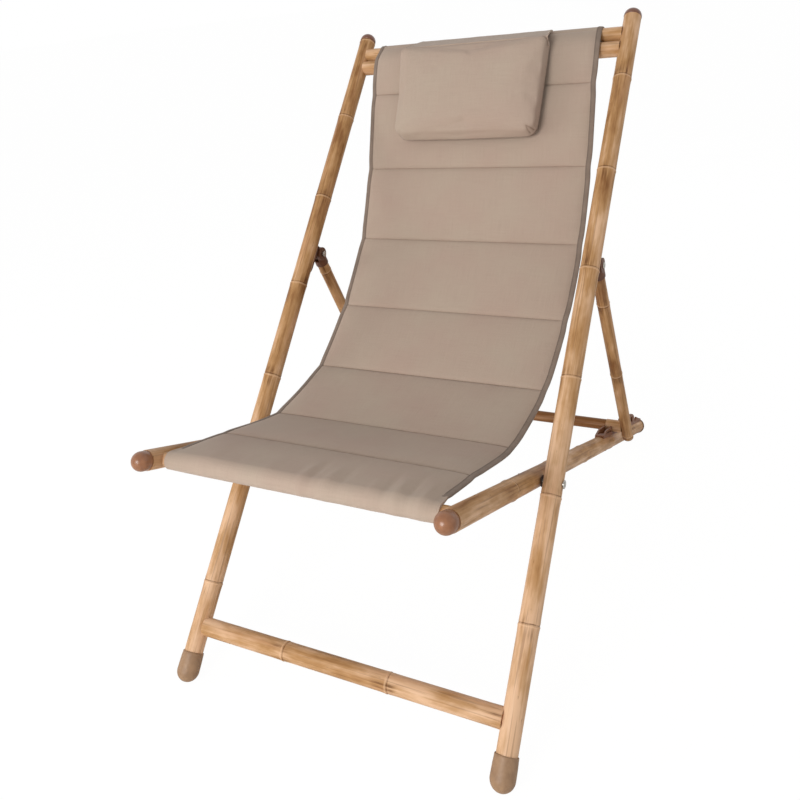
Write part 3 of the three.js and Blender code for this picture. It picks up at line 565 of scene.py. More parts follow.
@dataclass
class Shape:
    """Corners and faces of a piece under construction, in metres."""

    corners: list[Vector] = field(default_factory=list)
    faces: list[tuple[int, ...]] = field(default_factory=list)

    def add(self, other: "Shape", matrix: Matrix = Matrix.Identity(4)) -> "Shape":
        """Adds another shape, placed by a matrix."""
        start = len(self.corners)
        self.corners += [matrix @ corner for corner in other.corners]
        self.faces += [tuple(start + i for i in face) for face in other.faces]
        return self

    @classmethod
    def lofted(cls, rings: Sequence[Sequence[Vector]], capped: bool = True) -> "Shape":
        """Skins a row of closed rings.

        Args:
            rings: The rings, with as many points each.
            capped: Whether the first and last ring are closed by a face.

        Returns:
            The skin.
        """
        count = len(rings[0])
        shape = cls([Vector(point) for ring in rings for point in ring])
        for r in range(len(rings) - 1):
            for i in range(count):
                a, b = r * count + i, r * count + (i + 1) % count
                shape.faces.append((a, b, b + count, a + count))
        if capped:
            last = (len(rings) - 1) * count
            shape.faces.append(tuple(reversed(range(count))))
            shape.faces.append(tuple(range(last, last + count)))
        return shape

    @classmethod
    def turned(cls, profile: Profile, sides: int = 48) -> "Shape":
        """Turns a profile about the Y axis.

        Args:
            profile: Radius and height of each corner; one at radius 0 becomes a pole.
            sides: Corners in each ring.

        Returns:
            The turned shape.
        """
        shape = cls()
        rings: list[list[int]] = []
        for radius, height in profile:
            start = len(shape.corners)
            if radius < 1e-7:
                shape.corners.append(Vector((0, height, 0)))
                rings.append([start] * sides)
                continue
            for i in range(sides):
                turn = math.tau * i / sides
                shape.corners.append(Vector((radius * math.sin(turn), height, radius * math.cos(turn))))
            rings.append(list(range(start, start + sides)))
        for low, high in zip(rings, rings[1:]):
            for i in range(sides):
                j = (i + 1) % sides
                face = tuple(dict.fromkeys((low[i], low[j], high[j], high[i])))
                if len(face) > 2:
                    shape.faces.append(face)
        return shape

    @classmethod
    def plate(cls, outline: Sequence[tuple[float, float]], low: float, high: float) -> "Shape":
        """Gives thickness along X to an outline drawn in (y, z)."""
        rings = [[Vector((x, y, z)) for y, z in outline] for x in (low, high)]
        return cls.lofted(rings)

    @classmethod
    def box(cls, half: float, along: tuple[float, float], up: tuple[float, float]) -> "Shape":
        """Makes a box as far to both sides of X, between two places in Y and two in Z."""
        (near, far), (low, high) = along, up
        return cls.plate([(near, low), (far, low), (far, high), (near, high)], -half, half)

    @classmethod
    def rod(cls, radius: float, start: float, end: float) -> "Shape":
        """Makes a plain round rod along Y."""
        return cls.turned([(0.0, start), (radius, start), (radius, end), (0.0, end)], 64)


@dataclass
class Smith:
    """Turns shapes into finished pieces of the recliner."""

    sharp: float = math.radians(38)
    voxel: float = 0.0008

    def mesh(self, name: str, shape: Shape) -> bpy.types.Object:
        """Makes an object from a shape, with its doubles merged and its faces outward."""
        data = bpy.data.meshes.new(name)
        data.from_pydata([tuple(c) for c in shape.corners], [], shape.faces)
        body = bmesh.new()
        body.from_mesh(data)
        bmesh.ops.remove_doubles(body, verts=body.verts, dist=1e-6)
        bmesh.ops.recalc_face_normals(body, faces=body.faces)
        body.to_mesh(data)
        body.free()
        return self.placed(name, data)

    def placed(self, name: str, data: bpy.types.ID) -> bpy.types.Object:
        """Makes an object and puts it into the scene."""
        made = bpy.data.objects.new(name, data)
        bpy.context.scene.collection.objects.link(made)
        return made

    def turned(self, name: str, profile: Profile, matrix: Matrix,
               sides: int = 48) -> bpy.types.Object:
        """Makes an object by turning a profile about the Y axis of a frame."""
        return self.mesh(name, Shape().add(Shape.turned(profile, sides), matrix))

    def modify(self, piece: bpy.types.Object, kind: str, **settings: Any) -> bpy.types.Object:
        """Runs one modifier on a piece and keeps its result as the mesh.

        Args:
            piece: The piece.
            kind: The modifier's type.
            settings: The modifier's settings.

        Returns:
            The same piece.
        """
        modifier = piece.modifiers.new(kind.title(), kind)
        for name, value in settings.items():
            setattr(modifier, name, value)
        return self.settle(piece)

    def settle(self, piece: bpy.types.Object) -> bpy.types.Object:
        """Replaces a piece's mesh by what its modifiers make of it, and removes them."""
        graph = bpy.context.evaluated_depsgraph_get()
        graph.update()
        result = bpy.data.meshes.new_from_object(
            piece.evaluated_get(graph), preserve_all_data_layers=True, depsgraph=graph)
        old = piece.data
        piece.modifiers.clear()
        piece.data = result
        result.name = piece.name
        if old.users == 0:
            bpy.data.meshes.remove(old)
        return piece

    def cut(self, piece: bpy.types.Object, tool: Shape) -> bpy.types.Object:
        """Cuts a closed shape out of a piece."""
        cutter = self.mesh("cutter", tool)
        self.modify(piece, "BOOLEAN", operation="DIFFERENCE", object=cutter, solver="EXACT")
        bpy.data.objects.remove(cutter)
        return piece

    def melt(self, piece: bpy.types.Object, passes: int) -> None:
        """Fuses overlapping parts and rounds their edges, as a moulding's are."""
        self.modify(piece, "REMESH", mode="VOXEL", voxel_size=self.voxel)
        self.modify(piece, "SMOOTH", factor=0.5, iterations=passes)

    def above_floor(self, piece: bpy.types.Object) -> None:
        """Flattens whatever would reach below the floor."""
        for vertex in piece.data.vertices:
            vertex.co.z = max(vertex.co.z, 0.0)

    def finish(self, piece: bpy.types.Object, finish: Finish, body: Body | None,
               *nodes: str) -> bpy.types.Object:
        """Dresses a piece, ties it to its body and hides the nodes that it stands for.

        Args:
            piece: The piece.
            finish: Its finish.
            body: The body that it rides on, or None if it spans two and is tied to neither.
            nodes: The nodes that it replaces.

        Returns:
            The same piece.
        """
        data = piece.data
        data.materials.clear()
        data.materials.append(finish.material())
        data.polygons.foreach_set("material_index", [0] * len(data.polygons))
        data.polygons.foreach_set("use_smooth", [True] * len(data.polygons))
        data.set_sharp_from_angle(angle=self.sharp)
        data.update()
        if body is not None:
            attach(piece, body.value)
        if nodes:
            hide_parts(*nodes)
        log.info("%s: %d faces", piece.name, len(data.polygons))
        return piece

    def store(self, piece: bpy.types.Object, name: str, values: Iterable[float],
              kind: str = "FLOAT") -> None:
        """Stores a number or a vector on each corner of a piece."""
        data = piece.data
        layer = data.attributes.get(name) or data.attributes.new(name, kind, "POINT")
        layer.data.foreach_set("vector" if kind == "FLOAT_VECTOR" else "value", list(values))


smith = Smith()


# Geometry node trees

class Tree(Graph):
    """A geometry tree with named inputs that gives one plain mesh for each use."""

    def __init__(self, name: str, inputs: dict[str, tuple[str, Any]]) -> None:
        """Makes the tree's sockets.

        Args:
            name: The tree's name.
            inputs: Socket type and default for each named input.
        """
        super().__init__(bpy.data.node_groups.new(name, "GeometryNodeTree"))
        face = self.tree.interface
        face.new_socket("Geometry", in_out="INPUT", socket_type="NodeSocketGeometry")
        self.identifiers: dict[str, str] = {}
        for label, (kind, default) in inputs.items():
            socket = face.new_socket(label, in_out="INPUT", socket_type=kind)
            self.identifiers[label] = socket.identifier
            if default is not None:
                socket.default_value = default
        face.new_socket("Geometry", in_out="OUTPUT", socket_type="NodeSocketGeometry")
        self.entry = self.node("NodeGroupInput")

    def given(self, label: str) -> Wire:
        """Gives a named input as a wire."""
        return Wire(self, self.entry.outputs[label])

    def close(self, geometry: bpy.types.NodeSocket) -> None:
        """Ends the tree in Realize Instances and Set Material."""
        real = self.node("GeometryNodeRealizeInstances", None, {"Geometry": geometry})
        done = self.node("GeometryNodeSetMaterial", None, {
            "Geometry": real.outputs[0], "Material": self.given("Material")})
        self.node("NodeGroupOutput", None, {0: done.outputs[0]})

    def stored(self, geometry: bpy.types.NodeSocket, name: str, kind: str,
               value: Any) -> bpy.types.NodeSocket:
        """Stores a named attribute on each point."""
        node = self.node("GeometryNodeStoreNamedAttribute", {"data_type": kind, "domain": "POINT"},
                         {"Geometry": geometry, "Name": name, "Value": value})
        return node.outputs[0]

    def use(self, piece: bpy.types.Object, **values: Any) -> bpy.types.Object:
        """Runs the tree on a piece.

        Args:
            piece: The object whose mesh goes in.
            values: A value for each named input, with _ for each space.

        Returns:
            The same object with the plain result.
        """
        modifier = piece.modifiers.new(self.tree.name, "NODES")
        modifier.node_group = self.tree
        for label, value in values.items():
            modifier[self.identifiers[label.replace("_", " ").title()]] = value
        return smith.settle(piece)


class CaneTree(Tree):
    """Makes a bamboo cane round a straight spine of points along Y.

    Each knuckle swells, with a ring and a groove that run a little askew, and each length
    between two knuckles has its own depth of colour.
    """

    def __init__(self) -> None:
        """Builds the tree."""
        super().__init__("bamboo_cane", {
            "Radius": ("NodeSocketFloat", 0.0165),
            "Sides": ("NodeSocketInt", 40),
            "First Knuckle": ("NodeSocketFloat", 0.0),
            "Knuckle Pitch": ("NodeSocketFloat", 0.19),
            "Ring Rise": ("NodeSocketFloat", 0.0005),
            "Swell": ("NodeSocketFloat", 0.0004),
            "Groove": ("NodeSocketFloat", 0.0005),
            "Tone": ("NodeSocketFloat", 0.35),
            "Tone Rise": ("NodeSocketFloat", 0.0),
            "Patch": ("NodeSocketFloat", 0.22),
            "Seed": ("NodeSocketFloat", 0.0),
            "Material": ("NodeSocketMaterial", None),
        })
        spine = self.node("GeometryNodeMeshToCurve", None, {0: self.entry.outputs[0]})
        ring = self.node("GeometryNodeCurvePrimitiveCircle", None, {
            "Resolution": self.given("Sides"), "Radius": self.given("Radius")})
        tube = self.node("GeometryNodeCurveToMesh", None, {
            "Curve": spine.outputs[0], "Profile Curve": ring.outputs[0], "Fill Caps": True})
        position = self.node("GeometryNodeInputPosition").outputs[0]
        x, y, z = self.split(position)
        seed = self.given("Seed")
        along = (y - self.given("First Knuckle")) / self.given("Knuckle Pitch")
        number = self.math("MAXIMUM", self.math("ROUND", along), 0.0)
        offset = (along - number) * self.given("Knuckle Pitch")
        angle = self.math("ARCTAN2", x, z)
        askew = (angle + number * 2.4 + seed * 3.1).sine() * 0.0006
        ripple = (angle * 5 + number * 1.7 + seed).sine() * 0.00018
        knuckle = offset + askew + ripple
        oval = (angle * 2 + seed * 5.0).sine() * 0.00012
        rise = (knuckle.bell(-0.0009, 0.0013) * self.given("Ring Rise")
                + knuckle.bell(-0.001, 0.008) * self.given("Swell")
                - knuckle.bell(0.0021, 0.0010) * self.given("Groove") + oval)
        outward = self.node("ShaderNodeVectorMath", {"operation": "NORMALIZE"},
                            {0: self.joined(x, 0.0, z)}).outputs[0]
        shift = self.node("ShaderNodeVectorMath", {"operation": "SCALE"}, {0: outward, "Scale": rise})
        moved = self.node("GeometryNodeSetPosition", None, {
            "Geometry": tube.outputs[0], "Offset": shift.outputs[0]}).outputs[0]
        place = self.joined(x + seed * 0.37, y + seed * 1.91, z + seed * 0.53)
        moved = self.stored(moved, "cane_place", "FLOAT_VECTOR", place)
        moved = self.stored(moved, "knuckle", "FLOAT", knuckle)
        joint = self.math("MAXIMUM", self.math("FLOOR", along), -1.0)
        chance = self.node("ShaderNodeTexWhiteNoise", {"noise_dimensions": "2D"}, {
            "Vector": self.joined(joint, seed, 0.0)})
        patch = (Wire(self, chance.outputs["Value"]) - 0.5) * self.given("Patch")
        height = self.math("MINIMUM", y, 1.96 - y)
        tone = self.given("Tone") + self.given("Tone Rise") * height + patch
        moved = self.stored(moved, "tone", "FLOAT", tone)
        self.close(moved)


class StitchTree(Tree):
    """Sews stitches along a line whose points carry the cloth's normal."""

    def __init__(self) -> None:
        """Builds the tree."""
        super().__init__("stitch_row", {
            "Pitch": ("NodeSocketFloat", 0.0042),
            "Length": ("NodeSocketFloat", 0.0031),
            "Thickness": ("NodeSocketFloat", 0.0003),
            "Material": ("NodeSocketMaterial", None),
        })
        line = self.node("GeometryNodeMeshToCurve", None, {0: self.entry.outputs[0]})
        even = self.node("GeometryNodeResampleCurve", {"mode": "LENGTH"}, {
            "Curve": line.outputs[0], "Length": self.given("Pitch")})
        half = self.given("Length") * 0.5
        thick = self.given("Thickness")
        arch = self.node("GeometryNodeCurveQuadraticBezier", None, {
            "Resolution": 4,
            "Start": self.joined(half * -1.0, 0.0, thick * -0.6),
            "Middle": self.joined(0.0, 0.0, thick * 1.9),
            "End": self.joined(half, 0.0, thick * -0.6)})
        ring = self.node("GeometryNodeCurvePrimitiveCircle", None, {"Resolution": 6, "Radius": thick})
        stitch = self.node("GeometryNodeCurveToMesh", None, {
            "Curve": arch.outputs[0], "Profile Curve": ring.outputs[0], "Fill Caps": True})
        tangent = self.node("GeometryNodeInputTangent").outputs[0]
        normal = self.node("GeometryNodeInputNamedAttribute", {"data_type": "FLOAT_VECTOR"},
                           {"Name": "cloth_normal"}).outputs[0]
        first = self.node("FunctionNodeAlignRotationToVector", {"axis": "X"}, {"Vector": tangent})
        turn = self.node("FunctionNodeAlignRotationToVector", {"axis": "Z", "pivot_axis": "X"}, {
            "Rotation": first.outputs[0], "Vector": normal})
        sewn = self.node("GeometryNodeInstanceOnPoints", None, {
            "Points": even.outputs[0], "Instance": stitch.outputs[0], "Rotation": turn.outputs[0]})
        self.close(sewn.outputs[0])


class FastenerTree(Tree):
    """Sets a screw head, turned at random, on each point that carries its outward direction."""

    def __init__(self) -> None:
        """Builds the tree."""
        super().__init__("screw_heads", {
            "Head": ("NodeSocketObject", None),
            "Seed": ("NodeSocketInt", 7),
            "Material": ("NodeSocketMaterial", None),
        })
        head = self.node("GeometryNodeObjectInfo", {"transform_space": "ORIGINAL"}, {
            "Object": self.given("Head")})
        outward = self.node("GeometryNodeInputNamedAttribute", {"data_type": "FLOAT_VECTOR"},
                            {"Name": "outward"}).outputs[0]
        aligned = self.node("FunctionNodeAlignRotationToVector", {"axis": "Z"}, {"Vector": outward})
        chance = self.node("FunctionNodeRandomValue", {"data_type": "FLOAT"}, {
            2: 0.0, 3: math.pi, "Seed": self.given("Seed")})
        spin = self.joined(0.0, 0.0, Wire(self, chance.outputs[1]))
        euler = self.node("FunctionNodeEulerToRotation", None, {0: spin})
        turned = self.node("FunctionNodeRotateRotation", {"rotation_space": "LOCAL"}, {
            0: aligned.outputs[0], 1: euler.outputs[0]})
        heads = self.node("GeometryNodeInstanceOnPoints", None, {
            "Points": self.entry.outputs[0], "Instance": head.outputs["Geometry"],
            "Rotation": turned.outputs[0]})
        self.close(heads.outputs[0])


# Layout

@dataclass(frozen=True)
class Bay:
    """A turned frame of the recliner: +Y runs along its tubes, +Z is square to them."""

    origin: Vector
    tilt: float

    @property
    def matrix(self) -> Matrix:
        """The frame's place in the recliner."""
        return Matrix.Translation(self.origin) @ Matrix.Rotation(self.tilt, 4, "X")

    def at(self, x: float, y: float, z: float) -> Vector:
        """A point of this frame in the recliner."""
        return self.matrix @ Vector((x, y, z))

    def moved(self, x: float, y: float = 0.0, z: float = 0.0) -> Matrix:
        """The frame's matrix, moved along its own axes."""
        return self.matrix @ Matrix.Translation((x, y, z))

    @property
    def along(self) -> Vector:
        """The direction of the frame's tubes."""
        return self.matrix.to_3x3() @ Vector((0, 1, 0))

    @property
    def out(self) -> Vector:
        """The direction square to the frame's tubes, towards the sitter."""
        return self.matrix.to_3x3() @ Vector((0, 0, 1))


@dataclass(frozen=True)
class Layout:
    """The sizes that more than one sub-assembly needs, in metres, and the three frames."""

    half_width: float = 0.3
    pole_radius: float = 0.0165
    pole_skin: float = 0.0159
    pole_lean: float = math.radians(46.35)
    pivot_along: float = 0.4354
    hinge_along: float = 0.815
    top_bar_along: float = 1.2654
    lower_bar_along: float = 1.2334
    top_bar_radius: float = 0.0144
    front_bar_along: float = 0.279
    front_bar_radius: float = 0.011
    rail_radius: float = 0.0165
    rail_skin: float = 0.0157
    rail_rear: float = 0.757
    rear_cap_radius: float = 0.0172
    cap_rim: float = 0.0025
    sole_depth: float = 0.0008
    hinge_offset: float = 0.0326
    notch_along: float = 0.4857
    notch_pitch: float = 0.104
    bar_height: float = 0.0313
    knuckle_pitch: float = 0.19
    gap: float = 0.0003
    saddle_bite: float = 0.0002

    @property
    def pole_x(self) -> float:
        """Distance from the middle to the axis of a pole."""
        return self.half_width - self.pole_radius

    @property
    def rail_x(self) -> float:
        """Distance from the middle to the axis of a seat rail."""
        return self.pole_x - self.pole_radius - self.rail_radius - 0.001 - 2 * self.gap

    @property
    def main(self) -> Bay:
        """The frame of the long poles, from the floor up."""
        pivot = Vector(PIVOT)
        return Bay(pivot - spoke(self.pole_lean) * self.pivot_along, self.pole_lean)

    @property
    def seat(self) -> Bay:
        """The frame of the seat rails, from the pivot to the rear."""
        drop = self.pivot_along * math.sin(self.pole_lean) - self.rear_cap_radius + self.sole_depth
        return Bay(Vector(PIVOT), -math.asin(drop / (self.rail_rear + self.cap_rim)))

    @property
    def prop(self) -> Bay:
        """The frame of the prop legs, from the hinge down."""
        hinge = self.main.at(0, self.hinge_along, -self.hinge_offset)
        bar = self.seat.at(0, self.notch_along, self.bar_height)
        return Bay(hinge, math.atan2(bar.z - hinge.z, bar.y - hinge.y))

    @property
    def leg_to_bar(self) -> float:
        """Distance from the hinge to the prop bar."""
        hinge = self.main.at(0, self.hinge_along, -self.hinge_offset)
        return (self.seat.at(0, self.notch_along, self.bar_height) - hinge).length


PIVOT = next(joint["pos_m"] for joint in frame["joints"] if joint["name"] == "seat_fold")
LAYOUT = Layout()
CANES = CaneTree()
STITCHES = StitchTree()
SCREWS = FastenerTree()


@dataclass
class Cane:
    """One bamboo cane along the local Y of a frame."""

    name: str
    radius: float
    start: float
    end: float
    first_knuckle: float
    tone: float = 0.35
    seed: float = 0.0
    tone_rise: float = 0.0
    patch: float = 0.2
    pitch: float = LAYOUT.knuckle_pitch
    sides: int = 40
    saddle_x: float | None = None
    saddle_radius: float = 0.0
    saddle_flat: float = 0.78
    saddled_start: bool = True
    close: tuple[float, ...] = (0.0006, 0.0012, 0.0018, 0.0024, 0.0031, 0.004, 0.0056, 0.008,
                                0.012, 0.018, 0.028)
    step: float = 0.03

    @classmethod
    def between(cls, name: str, radius: float, x: float, tube: float, knuckle: float, tone: float,
                seed: float, inset: float = 0.012) -> "Cane":
        """Gives a bar that is saddled to two tubes.

        Args:
            name: The piece's name.
            radius: The bar's radius.
            x: Distance from the middle to the axis of each tube.
            tube: The radius of the tubes' skins.
            knuckle: Where the bar's first knuckle is.
            tone: The depth of its colour.
            seed: What sets its grain apart.
            inset: How far its last rings lie from the tubes' axes before they are saddled.

        Returns:
            The bar.
        """
        end = x - inset
        return cls(name, radius, -end, end, knuckle, tone, seed, saddle_x=x,
                   saddle_radius=tube - LAYOUT.saddle_bite)

    def rows(self) -> list[float]:
        """Places of the cane's rings, close together at each knuckle."""
        places = {self.start, self.end}
        pitch, middle = self.pitch, (self.pitch / 2 - 0.00004, self.pitch / 2 + 0.00004)
        number = max(math.ceil((self.start - self.first_knuckle) / pitch), 0)
        while self.first_knuckle + number * pitch < self.end:
            centre = self.first_knuckle + number * pitch
            places.update(centre + sign * near for near in (0.0, *self.close) for sign in (1, -1))
            places.update(centre + near for near in middle)
            number += 1
        inside = sorted(p for p in places if self.start <= p <= self.end)
        rows = [inside[0]]
        for place in inside[1:]:
            gap = place - rows[-1]
            parts = max(1, math.ceil(gap / self.step))
            rows += [rows[-1] + gap / parts * (i + 1) for i in range(parts)] if gap > 1e-5 else []
        return rows

    def build(self, matrix: Matrix, body: Body, node: str) -> None:
        """Makes the cane in its place.

        Args:
            matrix: The place of the cane's own frame, in which it runs along Y.
            body: The body that it rides on.
            node: The node that it replaces.
        """
        rows = self.rows()
        spine = bpy.data.meshes.new(self.name)
        spine.from_pydata([(0, y, 0) for y in rows], [(i, i + 1) for i in range(len(rows) - 1)], [])
        piece = smith.placed(self.name, spine)
        CANES.use(piece, radius=self.radius, sides=self.sides, first_knuckle=self.first_knuckle,
                  knuckle_pitch=self.pitch, tone=self.tone, tone_rise=self.tone_rise,
                  patch=self.patch, seed=self.seed, material=CANE.material())
        if self.saddle_x is not None:
            ends = (self.start, self.end) if self.saddled_start else (self.end,)
            flat = self.saddle_flat * self.saddle_radius
            for vertex in piece.data.vertices:
                if min(abs(vertex.co.y - end) for end in ends) < 1e-5:
                    depth = max(self.saddle_radius ** 2 - vertex.co.z ** 2, flat ** 2) ** 0.5
                    side = 1 if vertex.co.y > 0 else -1
                    vertex.co.y = side * (self.saddle_x - depth)
        piece.data.transform(matrix)
        smith.finish(piece, CANE, body, node)


def spread(steps: int, crowding: float) -> list[float]:
    """Gives shares from -1 to 1, which lie closer together towards both ends."""
    even = [2 * i / steps - 1 for i in range(steps + 1)]
    return [math.sin(math.pi / 2 * share) * crowding + share * (1 - crowding) for share in even]


def round_both(shares: Sequence[float]) -> list[tuple[int, float]]:
    """Goes across the sitter's face of a sheet, 1, and back across its other face, -1."""
    return [(1, share) for share in shares] + [(-1, share) for share in reversed(shares)]


def dome(radius: float, base: float, direction: int, rings: int = 14,
         flat: float = 1.0) -> list[tuple[float, float]]:
    """Gives a dome's profile from its edge to its top, with its height as a share of its radius."""
    steps = [(i / rings) * (math.pi / 2) for i in range(rings + 1)]
    return [(radius * math.cos(t) if i < rings else 0.0, base + direction * flat * radius * math.sin(t))
            for i, t in enumerate(steps)]


def peg(radius: float, base: float, direction: int = 1, depth: float = 0.004,
        face: float = 0.0001) -> list[tuple[float, float]]:
    """Gives the profile of the peg that holds a cap in its tube, from its tip to the tube's end."""
    tip = base - direction * depth
    return [(0.0, tip), (radius, tip), (radius, base + direction * face)]


def across(matrix: Matrix, side: int) -> Matrix:
    """Turns a frame so that its Y runs outward along X on the given side."""
    return matrix @ Matrix.Rotation(-side * math.pi / 2, 4, "Z")


@dataclass
class Hardware:
    """Bolts, nuts, washers and screws, finer than their nodes."""

    head_sides: int = 40
    screw_radius: float = 0.004
    screw_height: float = 0.002

    def bolt(self, shank: float, head: float, height: float, start: float, outer: float) -> Shape:
        """A domed bolt from its shank's end to its head."""
        rim = outer + height / 3
        profile = [(0.0, start), (shank * 0.8, start), (shank, start + 0.0006), (shank, outer),
                   (head - 0.0003, outer), (head, outer + 0.0003), (head, rim)]
        profile += [(head * math.cos(t), rim + (height - height / 3) * math.sin(t))
                    for t in (0.25, 0.5, 0.8, 1.1, 1.35)]
        return Shape.turned([*profile, (0.0, outer + height)], self.head_sides)

    def nut(self, width: float, start: float, end: float) -> Shape:
        """A hexagon nut with rounded corners at both faces."""
        corner, chamfer = width / math.sqrt(3), 0.0005
        profile = [(0.0, start), (corner - chamfer, start), (corner, start + chamfer),
                   (corner, end - chamfer), (corner - chamfer, end), (0.0, end)]
        return Shape.turned(profile, 6)

    def washer(self, inner: float, outer: float, start: float, end: float) -> Shape:
        """A flat ring with rounded rims."""
        soft = (end - start) * 0.25
        ring = [(inner, start), (outer - soft, start), (outer, start + soft), (outer, end - soft),
                (outer - soft, end), (inner, end), (inner, start)]
        return Shape.turned(ring, self.head_sides)

    def screw_head(self) -> bpy.types.Object:
        """A pan head with a cross recess, its foot at the origin and its top along +Z."""
        radius, height = self.screw_radius, self.screw_height
        profile = [(0.0, -0.0002), (radius, -0.0002), (radius, height * 0.45),
                   (radius * 0.94, height * 0.72), (radius * 0.7, height * 0.95), (0.0, height)]
        shape = Shape().add(Shape.turned(profile, 32), Matrix.Rotation(math.pi / 2, 4, "X"))
        head = smith.mesh("screw_head", shape)
        for turn in (0, math.pi / 2):
            slot = Shape.box(radius * 0.13, (-radius * 0.55, radius * 0.55),
                             (height * 0.35, height * 2))
            smith.cut(head, Shape().add(slot, Matrix.Rotation(turn, 4, "Z")))
        return head

    def screws(self, bay: Bay, body: Body, name: str, x: float, rise: float,
               rows: Sequence[tuple[str, float]]) -> None:
        """Sets the visible heads of one body's screws on both sides, pointing away from +Z.

        Args:
            bay: The frame that they are set in.
            body: The body that carries them.
            name: What the names of the piece and of its nodes begin with.
            x: Distance of each side's screws from the middle.
            rise: Where the feet of the heads lie on the frame's Z.
            rows: Name and place along the frame of each screw of one side.
        """
        head = self.screw_head()
        sites = [(f"{name}_{which}_{label}", bay.at(side * x, along, rise))
                 for side, label in SIDES for which, along in rows]
        points = bpy.data.meshes.new(f"{name}_heads")
        points.from_pydata([tuple(place) for _, place in sites], [], [])
        piece = smith.placed(f"{name}_heads", points)
        smith.store(piece, "outward", [*(-bay.out)] * len(sites), "FLOAT_VECTOR")
        SCREWS.use(piece, head=head, seed=7, material=STEEL.material())
        bpy.data.objects.remove(head)
        smith.finish(piece, STEEL, body, *(node for node, _ in sites))


HARDWARE = Hardware()


# Frames

